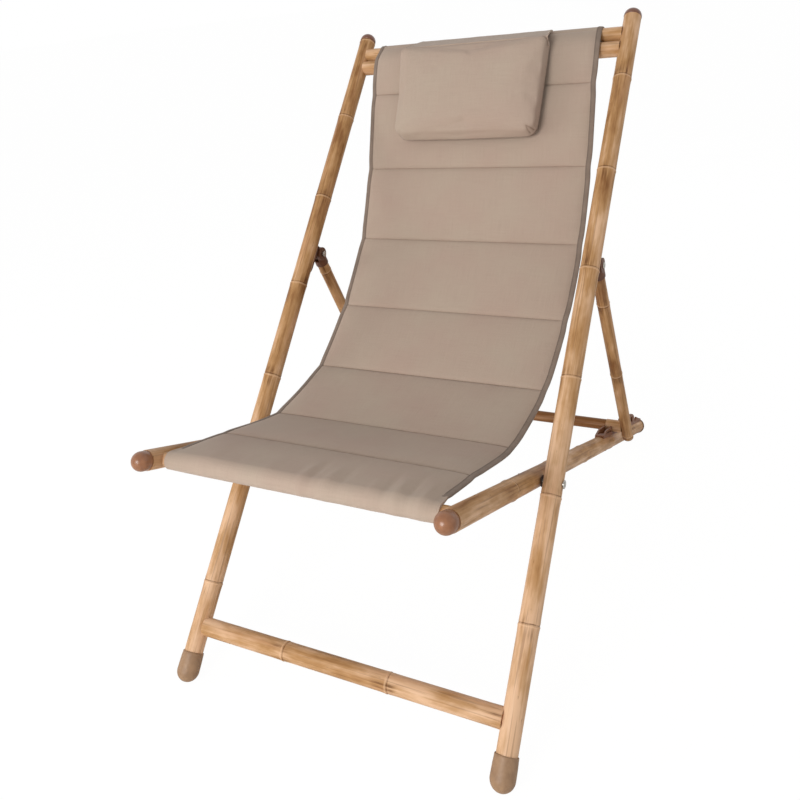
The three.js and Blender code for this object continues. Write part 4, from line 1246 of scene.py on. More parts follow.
@dataclass
class MainFrame:
    """The two long poles, the bars between them and what is fixed to them."""

    reach: float = 1.304
    knuckles: tuple[float, float] = (0.2264, 0.1694)
    knuckle_pitch: float = 0.1882
    tones: tuple[float, float] = (0.06, 0.18)
    tone_rise: float = 0.5
    stretcher_along: float = 0.0979
    stretcher_radius: float = 0.0153
    cap_radius: float = 0.0163
    boot_radius: float = 0.0185
    boot_rim_radius: float = 0.0177
    boot_length: float = 0.03
    bracket_plate: float = 0.0025
    bracket_width: float = 0.022
    bracket_foot: float = 0.052
    bracket_head: float = 0.014
    bracket_pinch: float = 0.42
    bracket_rows: int = 12
    lug_thickness: float = 0.008
    fork_radius: float = 0.013
    screw_drops: tuple[float, float] = (0.024, 0.042)

    @property
    def boot_centre(self) -> float:
        """Where the round end of a boot has its centre."""
        return (self.boot_radius - LAYOUT.sole_depth) / math.sin(LAYOUT.pole_lean)

    def build(self) -> None:
        """Makes every piece of the main frame."""
        for side, label in SIDES:
            self.pole(side, label)
            self.cap(side, label)
            self.boot(side, label)
            self.bracket(side, label)
            self.pivot(side, label)
        self.bars()
        self.bracket_screws()

    def pole(self, side: int, label: str) -> None:
        """Makes one long pole."""
        index = 0 if side > 0 else 1
        cane = Cane(f"pole_{label}", LAYOUT.pole_skin, self.boot_centre + LAYOUT.gap,
                    self.reach - LAYOUT.cap_rim, self.knuckles[index], self.tones[index], 1.3 + index,
                    self.tone_rise, 0.03, self.knuckle_pitch, sides=48)
        cane.build(LAYOUT.main.moved(side * LAYOUT.pole_x), Body.MAIN, f"main_pole_{label}")

    def cap(self, side: int, label: str) -> None:
        """Makes the rounded cap in the upper end of a pole."""
        base = self.reach - LAYOUT.cap_rim
        rim = base + LAYOUT.cap_rim
        profile = [*peg(self.cap_radius * 0.6, base), (self.cap_radius - 0.0004, base + 0.0001),
                   (self.cap_radius, base + 0.0006), *dome(self.cap_radius, rim, 1, flat=0.945)]
        piece = smith.turned(f"pole_cap_{label}", profile, LAYOUT.main.moved(side * LAYOUT.pole_x))
        smith.finish(piece, POLE_CAP, Body.MAIN, f"pole_top_cap_{label}")

    def boot(self, side: int, label: str) -> None:
        """Makes the rubber boot on the lower end of a pole."""
        centre, rim = self.boot_centre, self.boot_centre + self.boot_length
        inner = LAYOUT.pole_radius + 0.0001
        profile = [*reversed(dome(self.boot_radius, centre, -1, 18)),
                   (self.boot_radius - 0.0001, centre + 0.008),
                   (self.boot_radius - 0.0003, centre + 0.017),
                   (self.boot_rim_radius, rim - 0.004),
                   (self.boot_rim_radius, rim - 0.0012),
                   (self.boot_rim_radius - 0.0003, rim - 0.0003),
                   (inner + 0.0004, rim), (inner, rim - 0.0008), (inner, centre), (0.0, centre)]
        piece = smith.turned(f"boot_{label}", profile, LAYOUT.main.moved(side * LAYOUT.pole_x), 56)
        smith.above_floor(piece)
        smith.finish(piece, BOOT, Body.MAIN, f"foot_boot_{label}")

    def bars(self) -> None:
        """Makes the lower stretcher and the two top bars, saddled to the poles."""
        thin, thick = self.stretcher_radius, LAYOUT.top_bar_radius
        rows = (
            ("stretcher", "lower_stretcher", thin, self.stretcher_along, -0.104, 0.32, 4.4),
            ("top_bar_front", "top_bar_upper", thick, LAYOUT.top_bar_along, -0.058, 0.34, 5.2),
            ("top_bar_back", "top_bar_lower", thick, LAYOUT.lower_bar_along, 0.04, 0.5, 6.7),
        )
        for name, node, radius, along, knuckle, tone, seed in rows:
            cane = Cane.between(name, radius, LAYOUT.pole_x, LAYOUT.pole_skin, knuckle, tone, seed)
            cane.build(across(LAYOUT.main.moved(0, along), 1), Body.MAIN, node)

    def bracket(self, side: int, label: str) -> None:
        """Moulds the hinge bracket: a saddle plate on the pole and a lug for the socket."""
        inner, outer = LAYOUT.pole_skin + 0.0001, LAYOUT.pole_radius + LAYOUT.gap + self.bracket_plate
        spread = math.asin(self.bracket_width / 2 / outer)
        steps = [spread * (i / 8 - 1) for i in range(17)]
        arc_out = [(outer * math.sin(t), -outer * math.cos(t)) for t in steps]
        arc_in = [(inner * math.sin(t), -inner * math.cos(t)) for t in reversed(steps)]
        rings = []
        length = self.bracket_foot + self.bracket_head
        for i in range(self.bracket_rows + 1):
            share = i / self.bracket_rows
            narrow = 1 - self.bracket_pinch * abs(2 * share - 1) ** 6
            place = LAYOUT.hinge_along - self.bracket_foot + share * length
            rings.append([Vector((x * narrow, place, z)) for x, z in [*arc_out, *arc_in]])
        shape = Shape.lofted(rings)
        lug = self.fork_radius - 2 * LAYOUT.gap
        outline = [(-lug - self.bracket_plate, -LAYOUT.pole_radius - 0.001),
                   (-lug, -LAYOUT.hinge_offset)]
        outline += [(lug * math.cos(t), -LAYOUT.hinge_offset + lug * math.sin(t))
                    for t in [math.pi + math.pi * i / 20 for i in range(1, 20)]]
        outline += [(lug, -LAYOUT.hinge_offset), (lug, -LAYOUT.pole_radius - 0.001)]
        half = self.lug_thickness / 2
        shape.add(Shape.plate([(y + LAYOUT.hinge_along, z) for y, z in outline], -half, half))
        piece = smith.mesh(f"bracket_{label}", shape)
        smith.melt(piece, passes=3)
        piece.data.transform(LAYOUT.main.moved(side * LAYOUT.pole_x))
        smith.finish(piece, BRACKET, Body.MAIN, f"hinge_bracket_{label}")

    def bracket_screws(self) -> None:
        """Sets the four screws that hold the brackets."""
        face = -LAYOUT.pole_radius - LAYOUT.gap - self.bracket_plate
        rows = [(which, LAYOUT.hinge_along - drop)
                for which, drop in zip(("upper", "lower"), self.screw_drops)]
        HARDWARE.screws(LAYOUT.main, Body.MAIN, "bracket_screw", LAYOUT.pole_x, face, rows)

    def pivot(self, side: int, label: str) -> None:
        """Makes the pivot bolt, its spacer washer and its nut."""
        gap = LAYOUT.gap
        outer = LAYOUT.pole_radius + gap
        inner = LAYOUT.rail_x - LAYOUT.pole_x - LAYOUT.rail_radius - gap
        matrix = across(LAYOUT.main.moved(side * LAYOUT.pole_x, LAYOUT.pivot_along), side)
        rows = (
            ("bolt", STEEL, HARDWARE.bolt(0.004, 0.0068, 0.0024, inner - 0.006, outer)),
            ("washer", SHADED_WASHER, HARDWARE.washer(0.0043, 0.0095, -outer - 0.001, -outer)),
            ("nut", STEEL, HARDWARE.nut(0.0104, inner - 0.0055, inner)),
        )
        for kind, finish, shape in rows:
            piece = smith.mesh(f"pivot_{kind}_piece_{label}", Shape().add(shape, matrix))
            smith.finish(piece, finish, Body.MAIN, f"pivot_{kind}_{label}")


@dataclass
class SeatFrame:
    """The seat rails with their caps, racks and front bar."""

    rail_front: float = 0.307
    knuckles: tuple[float, float] = (-0.102, -0.16)
    ball_radius: float = 0.0151
    ball_skirt: float = 0.01
    sleeve_radius: float = 0.01225
    notch_gap: float = 0.00055
    rack_half_width: float = 0.009
    rack_front: float = 0.0777
    rack_tail: float = 0.061
    rack_low: float = 0.0125
    front_ramp: float = 0.024
    front_tooth: float = 0.0132
    first_tooth: float = 0.0145
    first_lip: float = 0.008
    second_tooth: float = 0.0285
    second_slope: float = 0.027
    tail_tooth: float = 0.0075
    tail_length: float = 0.028
    floor_wall: float = 0.002
    window_wall: float = 0.0034
    web: float = 0.0036
    web_floor: float = 0.0035
    pit_length: float = 0.034
    edge_round: float = 0.0009
    screw_places: tuple[float, float] = (-0.03, 0.186)

    def build(self) -> None:
        """Makes every piece of the seat frame."""
        for side, label in SIDES:
            self.rail(side, label)
            self.ball(side, label)
            self.rear_cap(side, label)
            self.rack(side, label)
        self.front_bar()
        self.rack_screws()

    def rail(self, side: int, label: str) -> None:
        """Makes one seat rail."""
        index = 0 if side > 0 else 1
        cane = Cane(f"rail_{label}", LAYOUT.rail_skin, -self.rail_front, LAYOUT.rail_rear,
                    self.knuckles[index], 0.52, 7.1 + index, patch=0.06, sides=48)
        cane.build(LAYOUT.seat.moved(side * LAYOUT.rail_x), Body.SEAT, f"seat_rail_{label}")

    def ball(self, side: int, label: str) -> None:
        """Makes the glossy ball cap on the front end of a rail."""
        base, radius = -self.rail_front, self.ball_radius
        profile = [*reversed(dome(radius, base - self.ball_skirt, -1, 18)),
                   (radius, base - 0.0008), (radius - 0.0005, base - 0.0001),
                   *reversed(peg(radius * 0.6, base, -1))]
        piece = smith.turned(f"ball_{label}", profile, LAYOUT.seat.moved(side * LAYOUT.rail_x), 56)
        smith.finish(piece, BALL, Body.SEAT, f"ball_cap_{label}")

    def rear_cap(self, side: int, label: str) -> None:
        """Makes the rounded cap on the rear end of a rail, flat where it stands."""
        base, radius = LAYOUT.rail_rear, LAYOUT.rear_cap_radius
        profile = [*peg(radius * 0.6, base), (radius - 0.0006, base + 0.0001),
                   (radius, base + 0.0007), *dome(radius, base + LAYOUT.cap_rim, 1, 18, 0.985)]
        matrix = LAYOUT.seat.moved(side * LAYOUT.rail_x)
        piece = smith.turned(f"rear_foot_{label}", profile, matrix, 56)
        smith.above_floor(piece)
        smith.finish(piece, REAR_CAP, Body.SEAT, f"rear_cap_{label}")

    def arc(self, centre: float, start: float, end: float, steps: int = 18) -> list:
        """Gives the corners of a notch round a place of the prop bar, from angle to angle."""
        radius = self.sleeve_radius + self.notch_gap
        turns = [start + (end - start) * i / steps for i in range(steps + 1)]
        return [(centre + radius * math.cos(t), LAYOUT.bar_height + radius * math.sin(t))
                for t in turns]

    def hump(self, start: tuple[float, float], peak: tuple[float, float],
             end: tuple[float, float], steps: int = 10) -> list[tuple[float, float]]:
        """Rounds the way from one corner over a peak to another."""
        points = []
        for i in range(steps):
            t = i / steps
            a, b, c = (1 - t) ** 2, 2 * t * (1 - t), t ** 2
            points.append((a * start[0] + b * peak[0] + c * end[0],
                           a * start[1] + b * peak[1] + c * end[1]))
        return points

    def outline(self) -> list[tuple[float, float]]:
        """Gives the rack's side outline in (along, up)."""
        first = LAYOUT.notch_along
        second, third = first + LAYOUT.notch_pitch, first + 2 * LAYOUT.notch_pitch
        radius = self.sleeve_radius + self.notch_gap
        floor, rail = LAYOUT.bar_height - radius, LAYOUT.rail_radius
        start, end = first - self.rack_front, third + self.rack_tail
        return [
            (start, self.rack_low), (start, floor),
            (start + self.front_ramp, rail + self.front_tooth - self.floor_wall),
            (first - radius - self.floor_wall, rail + self.front_tooth),
            *self.arc(first, math.pi, math.pi * 1.5),
            (first + radius / 2, floor),
            (second - radius - self.first_lip, rail + self.first_tooth),
            *self.arc(second, math.pi, math.pi * 2),
            *self.hump((second + radius + self.floor_wall, rail + self.second_tooth / 2),
                       (third - radius - self.second_slope - 0.004, rail + self.second_tooth * 1.1),
                       (third - radius, LAYOUT.bar_height)),
            *self.arc(third, math.pi, math.pi * 1.9),
            (third + self.tail_length, rail + self.tail_tooth),
            (end, floor), (end, self.rack_low),
        ]

    def windows(self) -> list[list[tuple[float, float]]]:
        """Gives the outlines of the windows through the front and the second tooth."""
        first, rail = LAYOUT.notch_along, LAYOUT.rail_radius
        sill = LAYOUT.bar_height - self.sleeve_radius + self.window_wall / 2
        front_top = rail + self.front_tooth - self.window_wall - self.floor_wall
        second_top = rail + self.second_tooth - self.window_wall
        start = first - self.rack_front
        second = first + LAYOUT.notch_pitch + self.sleeve_radius + 2 * self.window_wall
        end = first + self.screw_places[1] - 0.008
        back = first - self.sleeve_radius - 2 * self.window_wall
        return [
            [(start + self.front_ramp * 0.42, sill), (back, sill), (back, front_top),
             (start + self.front_ramp, front_top)],
            [(second, sill), (end, sill), (end, second_top - 4 * self.floor_wall),
             (second, (sill + second_top) / 2 - self.floor_wall)],
        ]

    def rack(self, side: int, label: str) -> None:
        """Moulds one toothed rack, with outer windows, a hollowed web and rounded edges."""
        half = self.rack_half_width
        piece = smith.mesh(f"rack_moulding_{label}", Shape.plate(self.outline(), -half, half))
        for window in self.windows():
            smith.cut(piece, Shape.plate(window, *sorted((0.0, side * 2 * half))))
        inside, low = half - self.web, LAYOUT.rail_radius + self.web_floor
        start = LAYOUT.notch_along - 2 * self.rack_front
        end = LAYOUT.rail_rear + self.rack_tail
        smith.cut(piece, Shape.box(inside, (start, end), (low, 4 * low)))
        back = LAYOUT.notch_along - self.sleeve_radius - 2 * self.window_wall
        smith.cut(piece, Shape.box(inside, (back - self.pit_length, back), (0.0, 2 * low)))
        smith.modify(piece, "BEVEL", width=self.edge_round, segments=3, limit_method="ANGLE",
                     angle_limit=math.radians(40))
        piece.data.transform(LAYOUT.seat.moved(side * LAYOUT.rail_x))
        smith.finish(piece, RACK, Body.SEAT, f"rack_{label}")

    def rack_screws(self) -> None:
        """Sets the four screws that hold the racks, in the underside of the rails."""
        rows = [(which, LAYOUT.notch_along + offset)
                for which, offset in zip(("front", "rear"), self.screw_places)]
        HARDWARE.screws(LAYOUT.seat, Body.SEAT, "rack_screw", LAYOUT.rail_x,
                        LAYOUT.gap - LAYOUT.rail_radius, rows)

    def front_bar(self) -> None:
        """Makes the cross bar inside the front loop of the sling."""
        cane = Cane.between("front_cross_bar", LAYOUT.front_bar_radius, LAYOUT.rail_x,
                            LAYOUT.rail_skin, 0.6, 0.4, 9.3)
        cane.build(across(LAYOUT.seat.moved(0, -LAYOUT.front_bar_along), 1), Body.SEAT, "front_bar")


@dataclass
class PropFrame:
    """The prop legs with their sockets, and the bar that lies in the racks."""

    leg_radius: float = 0.0111
    leg_start: float = 0.027
    overhang: float = 0.034
    knuckles: tuple[float, float] = (0.092, 0.046)
    fork_radius: float = 0.013
    fork_width: float = 0.025
    lug_gap: float = 0.0046
    bar_radius: float = 0.0112
    sleeve_radius: float = 0.01225
    sleeve_length: float = 0.029

    def build(self) -> None:
        """Makes every piece of the prop frame."""
        for side, label in SIDES:
            self.leg(side, label)
            self.plug(side, label)
            self.socket(side, label)
            self.hinge(side, label)
            self.sleeve(side, label)
        self.bar()

    def leg(self, side: int, label: str) -> None:
        """Makes one prop leg."""
        index = 0 if side > 0 else 1
        end = LAYOUT.leg_to_bar + self.overhang - LAYOUT.cap_rim
        cane = Cane(f"leg_{label}", self.leg_radius, self.leg_start + LAYOUT.gap, end,
                    self.knuckles[index], 0.62, 11.7 + index)
        cane.build(LAYOUT.prop.moved(side * LAYOUT.pole_x), Body.PROP, f"prop_leg_{label}")

    def plug(self, side: int, label: str) -> None:
        """Makes the plug in the lower end of a leg."""
        end = LAYOUT.leg_to_bar + self.overhang - LAYOUT.cap_rim
        radius = self.leg_radius
        profile = [*peg(radius * 0.5, end), (radius - 0.0004, end + 0.0001), (radius, end + 0.0005),
                   (radius, end + 0.0012), (radius - 0.0004, end + 0.0020),
                   (radius - 0.0013, end + 0.0025), (0.0, end + 0.0025)]
        piece = smith.turned(f"plug_{label}", profile, LAYOUT.prop.moved(side * LAYOUT.pole_x))
        smith.finish(piece, POLE_CAP, Body.PROP, f"leg_plug_{label}")

    def socket(self, side: int, label: str) -> None:
        """Moulds the forked socket at the upper end of a leg."""
        half = self.fork_width / 2
        barrel = Shape.rod(self.fork_radius, -half, half)
        collar = Shape.rod(self.fork_radius - 0.0002, 0.001, self.leg_start)
        shape = Shape().add(barrel, Matrix.Rotation(-math.pi / 2, 4, "Z")).add(collar)
        piece = smith.mesh(f"socket_{label}", shape)
        smith.melt(piece, passes=2)
        reach = self.fork_radius + LAYOUT.gap
        smith.cut(piece, Shape.box(self.lug_gap, (-2 * reach, reach), (-2 * reach, 2 * reach)))
        piece.data.transform(LAYOUT.prop.moved(side * LAYOUT.pole_x))
        smith.finish(piece, BRACKET, Body.PROP, f"leg_socket_{label}")

    def hinge(self, side: int, label: str) -> None:
        """Makes the hinge bolt and its nut."""
        outer = self.fork_width / 2 + LAYOUT.gap
        matrix = across(LAYOUT.prop.moved(side * LAYOUT.pole_x), side)
        rows = (("bolt", HARDWARE.bolt(0.003, 0.0055, 0.003, -outer - 0.005, outer)),
                ("nut", HARDWARE.nut(0.01, -outer - 0.0045, -outer)))
        for kind, shape in rows:
            piece = smith.mesh(f"hinge_{kind}_piece_{label}", Shape().add(shape, matrix))
            smith.finish(piece, STEEL, Body.PROP, f"hinge_{kind}_{label}")

    def sleeve(self, side: int, label: str) -> None:
        """Makes the thicker sleeve at one end of the prop bar, saddled to the leg."""
        start = LAYOUT.pole_x - self.leg_radius - self.sleeve_length
        end = LAYOUT.pole_x - self.leg_radius * 0.5
        cane = Cane(f"sleeve_{label}", self.sleeve_radius, start, end, 1.0, 0.34, 14.9 + side,
                    saddle_x=LAYOUT.pole_x, saddle_radius=self.leg_radius, saddle_flat=0.8,
                    saddled_start=False)
        cane.build(across(LAYOUT.prop.moved(0, LAYOUT.leg_to_bar), side), Body.PROP, f"bar_sleeve_{label}")

    def bar(self) -> None:
        """Makes the prop bar between the legs."""
        cane = Cane.between("prop_cross_bar", self.bar_radius, LAYOUT.pole_x, self.leg_radius,
                            -0.04, 1.25, 16.1, inset=0.008)
        cane.build(across(LAYOUT.prop.moved(0, LAYOUT.leg_to_bar), 1), Body.PROP, "prop_bar")


# Soft goods

@dataclass(frozen=True)
class Station:
    """One place on the way of the cloth, from behind the top bar to under the front bar."""

    point: Vector
    normal: Vector
    place: float
    run: float
    crown: float
    seam: float
    channel: int

    def at(self, x: float, rise: float) -> Vector:
        """Gives the point at a distance across the cloth and a height above its line."""
        return self.point + Vector((x, 0, 0)) + self.normal * rise


@dataclass
class SlingPath:
    """The line that the sling follows in its side view."""

    along_shares: tuple[float, ...] = (0.0992, 0.224, 0.3553, 0.5058, 0.6553, 0.8041, 0.9099)
    sag_shares: tuple[float, ...] = (0.031, 0.1287, 0.2064, 0.246, 0.25, 0.186, 0.075)
    top_loop_radius: float = 0.01535
    front_loop_radius: float = 0.0126
    back_rest: float = 0.01935
    kink_share: float = 0.45
    channel_rows: int = 22
    loop_rows: int = 30
    loop_turn: float = math.radians(285)

    def __post_init__(self) -> None:
        """Works out the points that the line passes through."""
        main, seat = LAYOUT.main, LAYOUT.seat
        self.top = main.at(0, LAYOUT.top_bar_along, 0)
        self.front = seat.at(0, -LAYOUT.front_bar_along, 0)
        chord = self.front - self.top
        sag = Vector((0, -chord.z, chord.y)).normalized()
        self.seams = [self.top + chord * a + sag * (s * chord.length)
                      for a, s in zip(self.along_shares, self.sag_shares)]
        rest = main.at(0, LAYOUT.lower_bar_along, 0) + main.out * self.back_rest
        start = self.top + main.out * self.top_loop_radius
        end = self.front + seat.out * self.front_loop_radius
        self.knots = [start, rest, *self.seams, end]

    def curve(self, place: float) -> Vector:
        """Gives a point of the centripetal curve through the knots, for a place from 0 to 1."""
        knots = self.knots
        spans = len(knots) - 1
        index = min(int(place * spans), spans - 1)
        share = place * spans - index
        p1, p2 = knots[index], knots[index + 1]
        p0 = knots[index - 1] if index > 0 else 2 * knots[0] - knots[1]
        p3 = knots[index + 2] if index + 2 <= spans else 2 * knots[-1] - knots[-2]
        d0, d1, d2 = ((b - a).length ** 0.5 for a, b in ((p0, p1), (p1, p2), (p2, p3)))
        t1 = ((p1 - p0) / d0 - (p2 - p0) / (d0 + d1) + (p2 - p1) / d1) * d1
        t2 = ((p2 - p1) / d1 - (p3 - p1) / (d1 + d2) + (p3 - p2) / d2) * d1
        c2 = -3 * p1 + 3 * p2 - 2 * t1 - t2
        c3 = 2 * p1 - 2 * p2 + t1 + t2
        return p1 + t1 * share + c2 * share ** 2 + c3 * share ** 3

    def bent(self, place: float) -> Vector:
        """Gives the curve's point, drawn towards straight lines between the seams."""
        smooth = self.curve(place)
        spans = len(self.knots) - 1
        index = min(int(place * spans), spans - 1)
        if index == 0:
            return smooth
        a, b = self.knots[index], self.knots[index + 1]
        line = b - a
        share = (smooth - a).dot(line) / line.length_squared
        return smooth.lerp(a + line * share, self.kink_share)

    def stations(self) -> list[Station]:
        """Gives every station, with loops round both bars."""
        main, seat = LAYOUT.main, LAYOUT.seat
        front_angle = math.atan2(main.out.z, main.out.y)
        up_angle = math.atan2(seat.out.z, seat.out.y)
        rows: list[tuple[Vector, Vector | None, float, float, float, int]] = []
        for i in range(self.loop_rows):
            turn = front_angle - self.loop_turn * (1 - i / self.loop_rows)
            normal = spoke(turn)
            rows.append((self.top + normal * self.top_loop_radius, normal, 0.0, 0.0, 1.0, 0))
        spans = len(self.knots) - 1
        bounds = [0.0, *((i + 2) / spans for i in range(len(self.seams))), 1.0]
        for channel in range(len(bounds) - 1):
            low, high = bounds[channel], bounds[channel + 1]
            steps = self.channel_rows + (8 if channel == 0 else 0)
            for i in range(steps):
                share = 0.5 - 0.5 * math.cos(math.pi * i / steps)
                share = 0.55 * share + 0.45 * i / steps
                place = low + (high - low) * share
                crown = (1 - abs(2 * share - 1) ** 2) ** 0.55
                if channel == len(bounds) - 2 and share > 0.5:
                    crown = 1 - 0.55 * (2 * share - 1) ** 1.5
                rows.append((self.bent(place), None, place, crown, share, channel))
        last = len(bounds) - 2
        for i in range(self.loop_rows + 1):
            turn_share = i / self.loop_rows
            turn = up_angle + self.loop_turn * turn_share
            normal = spoke(turn)
            fade = 0.45 * max(0.0, 1 - turn_share * 1.6)
            rows.append((self.front + normal * self.front_loop_radius, normal, 1.0, fade, 1.0, last))
        runs, total = [], 0.0
        for i, row in enumerate(rows):
            total += (row[0] - rows[i - 1][0]).length if i else 0.0
            runs.append(total)
        sewn = [runs[i] for i, row in enumerate(rows)
                if row[1] is None and row[4] == 0.0 and row[5] > 0]
        made = []
        for i, (point, normal, place, crown, _, channel) in enumerate(rows):
            if normal is None:
                before, after = rows[i - 1][0], rows[min(i + 1, len(rows) - 1)][0]
                tangent = (after - before).normalized()
                normal = Vector((0, tangent.z, -tangent.y))
            seam = min(abs(runs[i] - s) for s in sewn)
            made.append(Station(point, normal, place, runs[i], crown, seam, channel))
        self.sewn_runs = sewn
        return made


@dataclass
class Sling:
    """The quilted sling, its binding tapes and its stitching."""

    path: SlingPath = field(default_factory=SlingPath)
    halves: tuple[tuple[float, float], ...] = (
        (0.0, 0.2355), (0.12, 0.2375), (0.3, 0.237), (0.45, 0.235), (0.85, 0.226))
    seam_half: float = 0.0017
    crown_front: float = 0.0073
    crown_back: float = 0.0028
    columns: int = 112
    tape_width: float = 0.0102
    hem: float = 0.024
    tape_half: float = 0.0023
    tape_nip: float = 0.16
    seam_draw: float = 0.0016
    billow: float = 0.0011
    pucker: float = 0.00055
    groove: float = 0.0007
    gather_reach: float = 0.08
    gather_slant: float = 0.10
    gather_tucks: float = 0.0007
    tape_follows: float = 0.6
    tape_waver: float = 0.0006
    tape_lumps: float = 0.00025
    tape_cover: float = 0.003
    stitch_inset: float = 0.0022
    stitch_lift: float = 1.03
    folds: tuple[tuple[float, float, float, float], ...] = (
        (-0.15, 0.009, 0.0006, 0.04), (-0.1, 0.007, -0.0006, 0.03), (-0.045, 0.008, 0.0008, 0.03),
        (0.016, 0.006, 0.0018, 0.035), (0.03, 0.0045, -0.0015, 0.05), (0.056, 0.007, 0.002, 0.028),
        (0.077, 0.005, -0.0012, 0.04), (0.125, 0.005, 0.0012, 0.02), (0.145, 0.0045, -0.0016, 0.045),
        (0.162, 0.006, 0.0021, 0.03), (0.18, 0.0045, -0.0018, 0.05), (0.2, 0.006, 0.0019, 0.03))

    def half_at(self, place: float) -> float:
        """Gives half the sling's width at a place of its line."""
        for (low, narrow), (high, wide) in zip(self.halves, self.halves[1:]):
            if place < high:
                share = max(place - low, 0.0) / (high - low)
                return narrow + (wide - narrow) * share * share * (3 - 2 * share)
        return self.halves[-1][1]

    def edge_at(self, station: Station) -> float:
        """Gives half the width with the slight draw-in at each seam."""
        return self.half_at(station.place) - self.seam_draw * bump(station.seam, 0.016)

    def nipped(self, station: Station) -> float:
        """Gives the share of its thickness that the tape keeps, which is less at a seam."""
        return 1 - self.tape_nip * bump(station.seam, 0.006)

    def hemmed(self, station: Station, end_run: float) -> float:
        """Gives how far the tape has gone inside the hem of the front roll, from 0 to 1."""
        return limited((station.run - end_run + self.hem) / self.hem)

    def gather(self, x: float, station: Station, end_run: float) -> float:
        """Gives the height of the folds that the front bar draws into the cloth."""
        distance = end_run - station.run
        if station.channel < len(self.path.seams) or distance > self.gather_reach:
            return 0.0
        slant = x + self.gather_slant * max(distance, 0.0)
        drawn = sum(rise * math.exp(-((slant - centre) / width) ** 2 - max(distance / reach, 0.0) ** 2)
                    for centre, width, rise, reach in self.folds)
        tucks = wander(x * 26, station.run * 3, 3.1) * max(0.0, 1 - distance / self.gather_reach)
        return (drawn + self.gather_tucks * tucks) * limited(1 + distance / 0.045)

    def lift(self, x: float, station: Station, end_run: float, face: int) -> float:
        """Gives the height of one face above the sling's line.

        Args:
            x: Where across the sling, in metres.
            station: Where along it.
            end_run: The run at which the front loop begins.
            face: 1 for the sitter's side and -1 for the back.

        Returns:
            The height along the normal, in metres.
        """
        inner = self.edge_at(station) - self.tape_width
        swell = max(0.0, 1 - (abs(x) / inner) ** 9) ** 0.5
        crown = self.crown_front if face > 0 else self.crown_back
        height = self.seam_half + crown * station.crown * swell
        wave = wander(x * 7, station.run * 9, 1.7 * face)
        height += self.billow * wave * station.crown * swell
        pucker = wander(x * 62, station.channel * 5.3 + face, station.run * 12)
        height += self.pucker * pucker * bump(station.seam - 0.006, 0.008) * swell
        height -= self.groove * bump(station.seam, 0.0013)
        return face * height + self.gather(x, station, end_run)

    def build(self) -> None:
        """Makes the sling and its trim between the main and the seat frame, and applies their transforms
        to their meshes.
        """
        stations = self.path.stations()
        end_run = next(s.run for s in reversed(stations) if s.place < 1.0)
        cloth = self.cloth(stations, end_run)
        trim = [self.tape(stations, end_run, side, label) for side, label in SIDES]
        trim += self.stitching(stations, end_run)
        for piece in (cloth, *trim):
            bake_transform(piece)

    def cloth(self, stations: Sequence[Station], end_run: float) -> bpy.types.Object:
        """Makes the quilted cloth as one closed skin."""
        shares = spread(self.columns, 0.35)
        rings, places, seams, sewn = [], [], [], []
        for station in stations:
            half = self.edge_at(station) - self.tape_cover + 0.004 * self.hemmed(station, end_run)
            # Strength of the painted shade in the seam grooves: faint on the back channels, stronger on
            # the seat.
            strength = 0.16 + 0.5 * limited((station.place - 0.6) / 0.15)
            ring = []
            for face, share in round_both(shares):
                x = share * half
                rise = self.lift(x, station, end_run, face)
                ring.append(station.at(x, rise))
                places += [x, station.run, 0.0]
                seams.append(station.seam)
                sewn.append(strength)
            rings.append(ring)
        piece = smith.mesh("sling_cloth", Shape.lofted(rings))
        if len(piece.data.vertices) != len(seams):
            raise ValueError("the sling's corners were merged, so its weave has no place")
        smith.store(piece, "cloth_place", places, "FLOAT_VECTOR")
        smith.store(piece, "seam", seams)
        smith.store(piece, "sewn", sewn)
        return smith.finish(piece, CLOTH, None, "sling")

    def tape(self, stations: Sequence[Station], end_run: float, side: int,
             label: str) -> bpy.types.Object:
        """Makes one binding tape, folded over the edge of the cloth."""
        rings, places = [], []
        width, half = self.tape_width, self.tape_half
        section = [(0.0, 0.55), (0.06, 1.0), (0.3, 1.04), (0.6, 1.0), (0.82, 0.92), (0.95, 0.6),
                   (1.0, 0.0), (0.95, -0.6), (0.82, -0.92), (0.6, -1.0), (0.3, -1.04), (0.06, -1.0),
                   (0.0, -0.55)]
        for station in stations:
            outer = self.edge_at(station)
            waver = self.tape_waver * wander(side * 3.0, station.run * 30, 0.4)
            hidden = self.hemmed(station, end_run)
            tight = self.nipped(station) * (1 - 0.6 * hidden)
            outer -= self.tape_cover * hidden
            ring = []
            for share, rise in section:
                x = outer - width * (1 - share) + waver * (1 - share)
                lumps = self.tape_lumps * wander(share * 4, station.run * 90, side)
                height = rise * half * tight + lumps
                height += self.gather(side * x, station, end_run) * self.tape_follows
                ring.append(station.at(side * x, height))
                places += [share * width + (width if rise < 0 else 0), station.run, 0.0]
            rings.append(ring)
        piece = smith.mesh(f"sling_tape_{label}", Shape.lofted(rings))
        smith.store(piece, "cloth_place", places, "FLOAT_VECTOR")
        return smith.finish(piece, TAPE, None, f"sling_binding_{label}")

    def line(self, name: str, points: Sequence[tuple[Vector, Vector]]) -> bpy.types.Object:
        """Makes a sewing line from points and the cloth's normal at each."""
        data = bpy.data.meshes.new(name)
        edges = [(i, i + 1) for i in range(len(points) - 1)]
        data.from_pydata([tuple(point) for point, _ in points], edges, [])
        piece = smith.placed(name, data)
        smith.store(piece, "cloth_normal", [v for _, n in points for v in n], "FLOAT_VECTOR")
        return piece

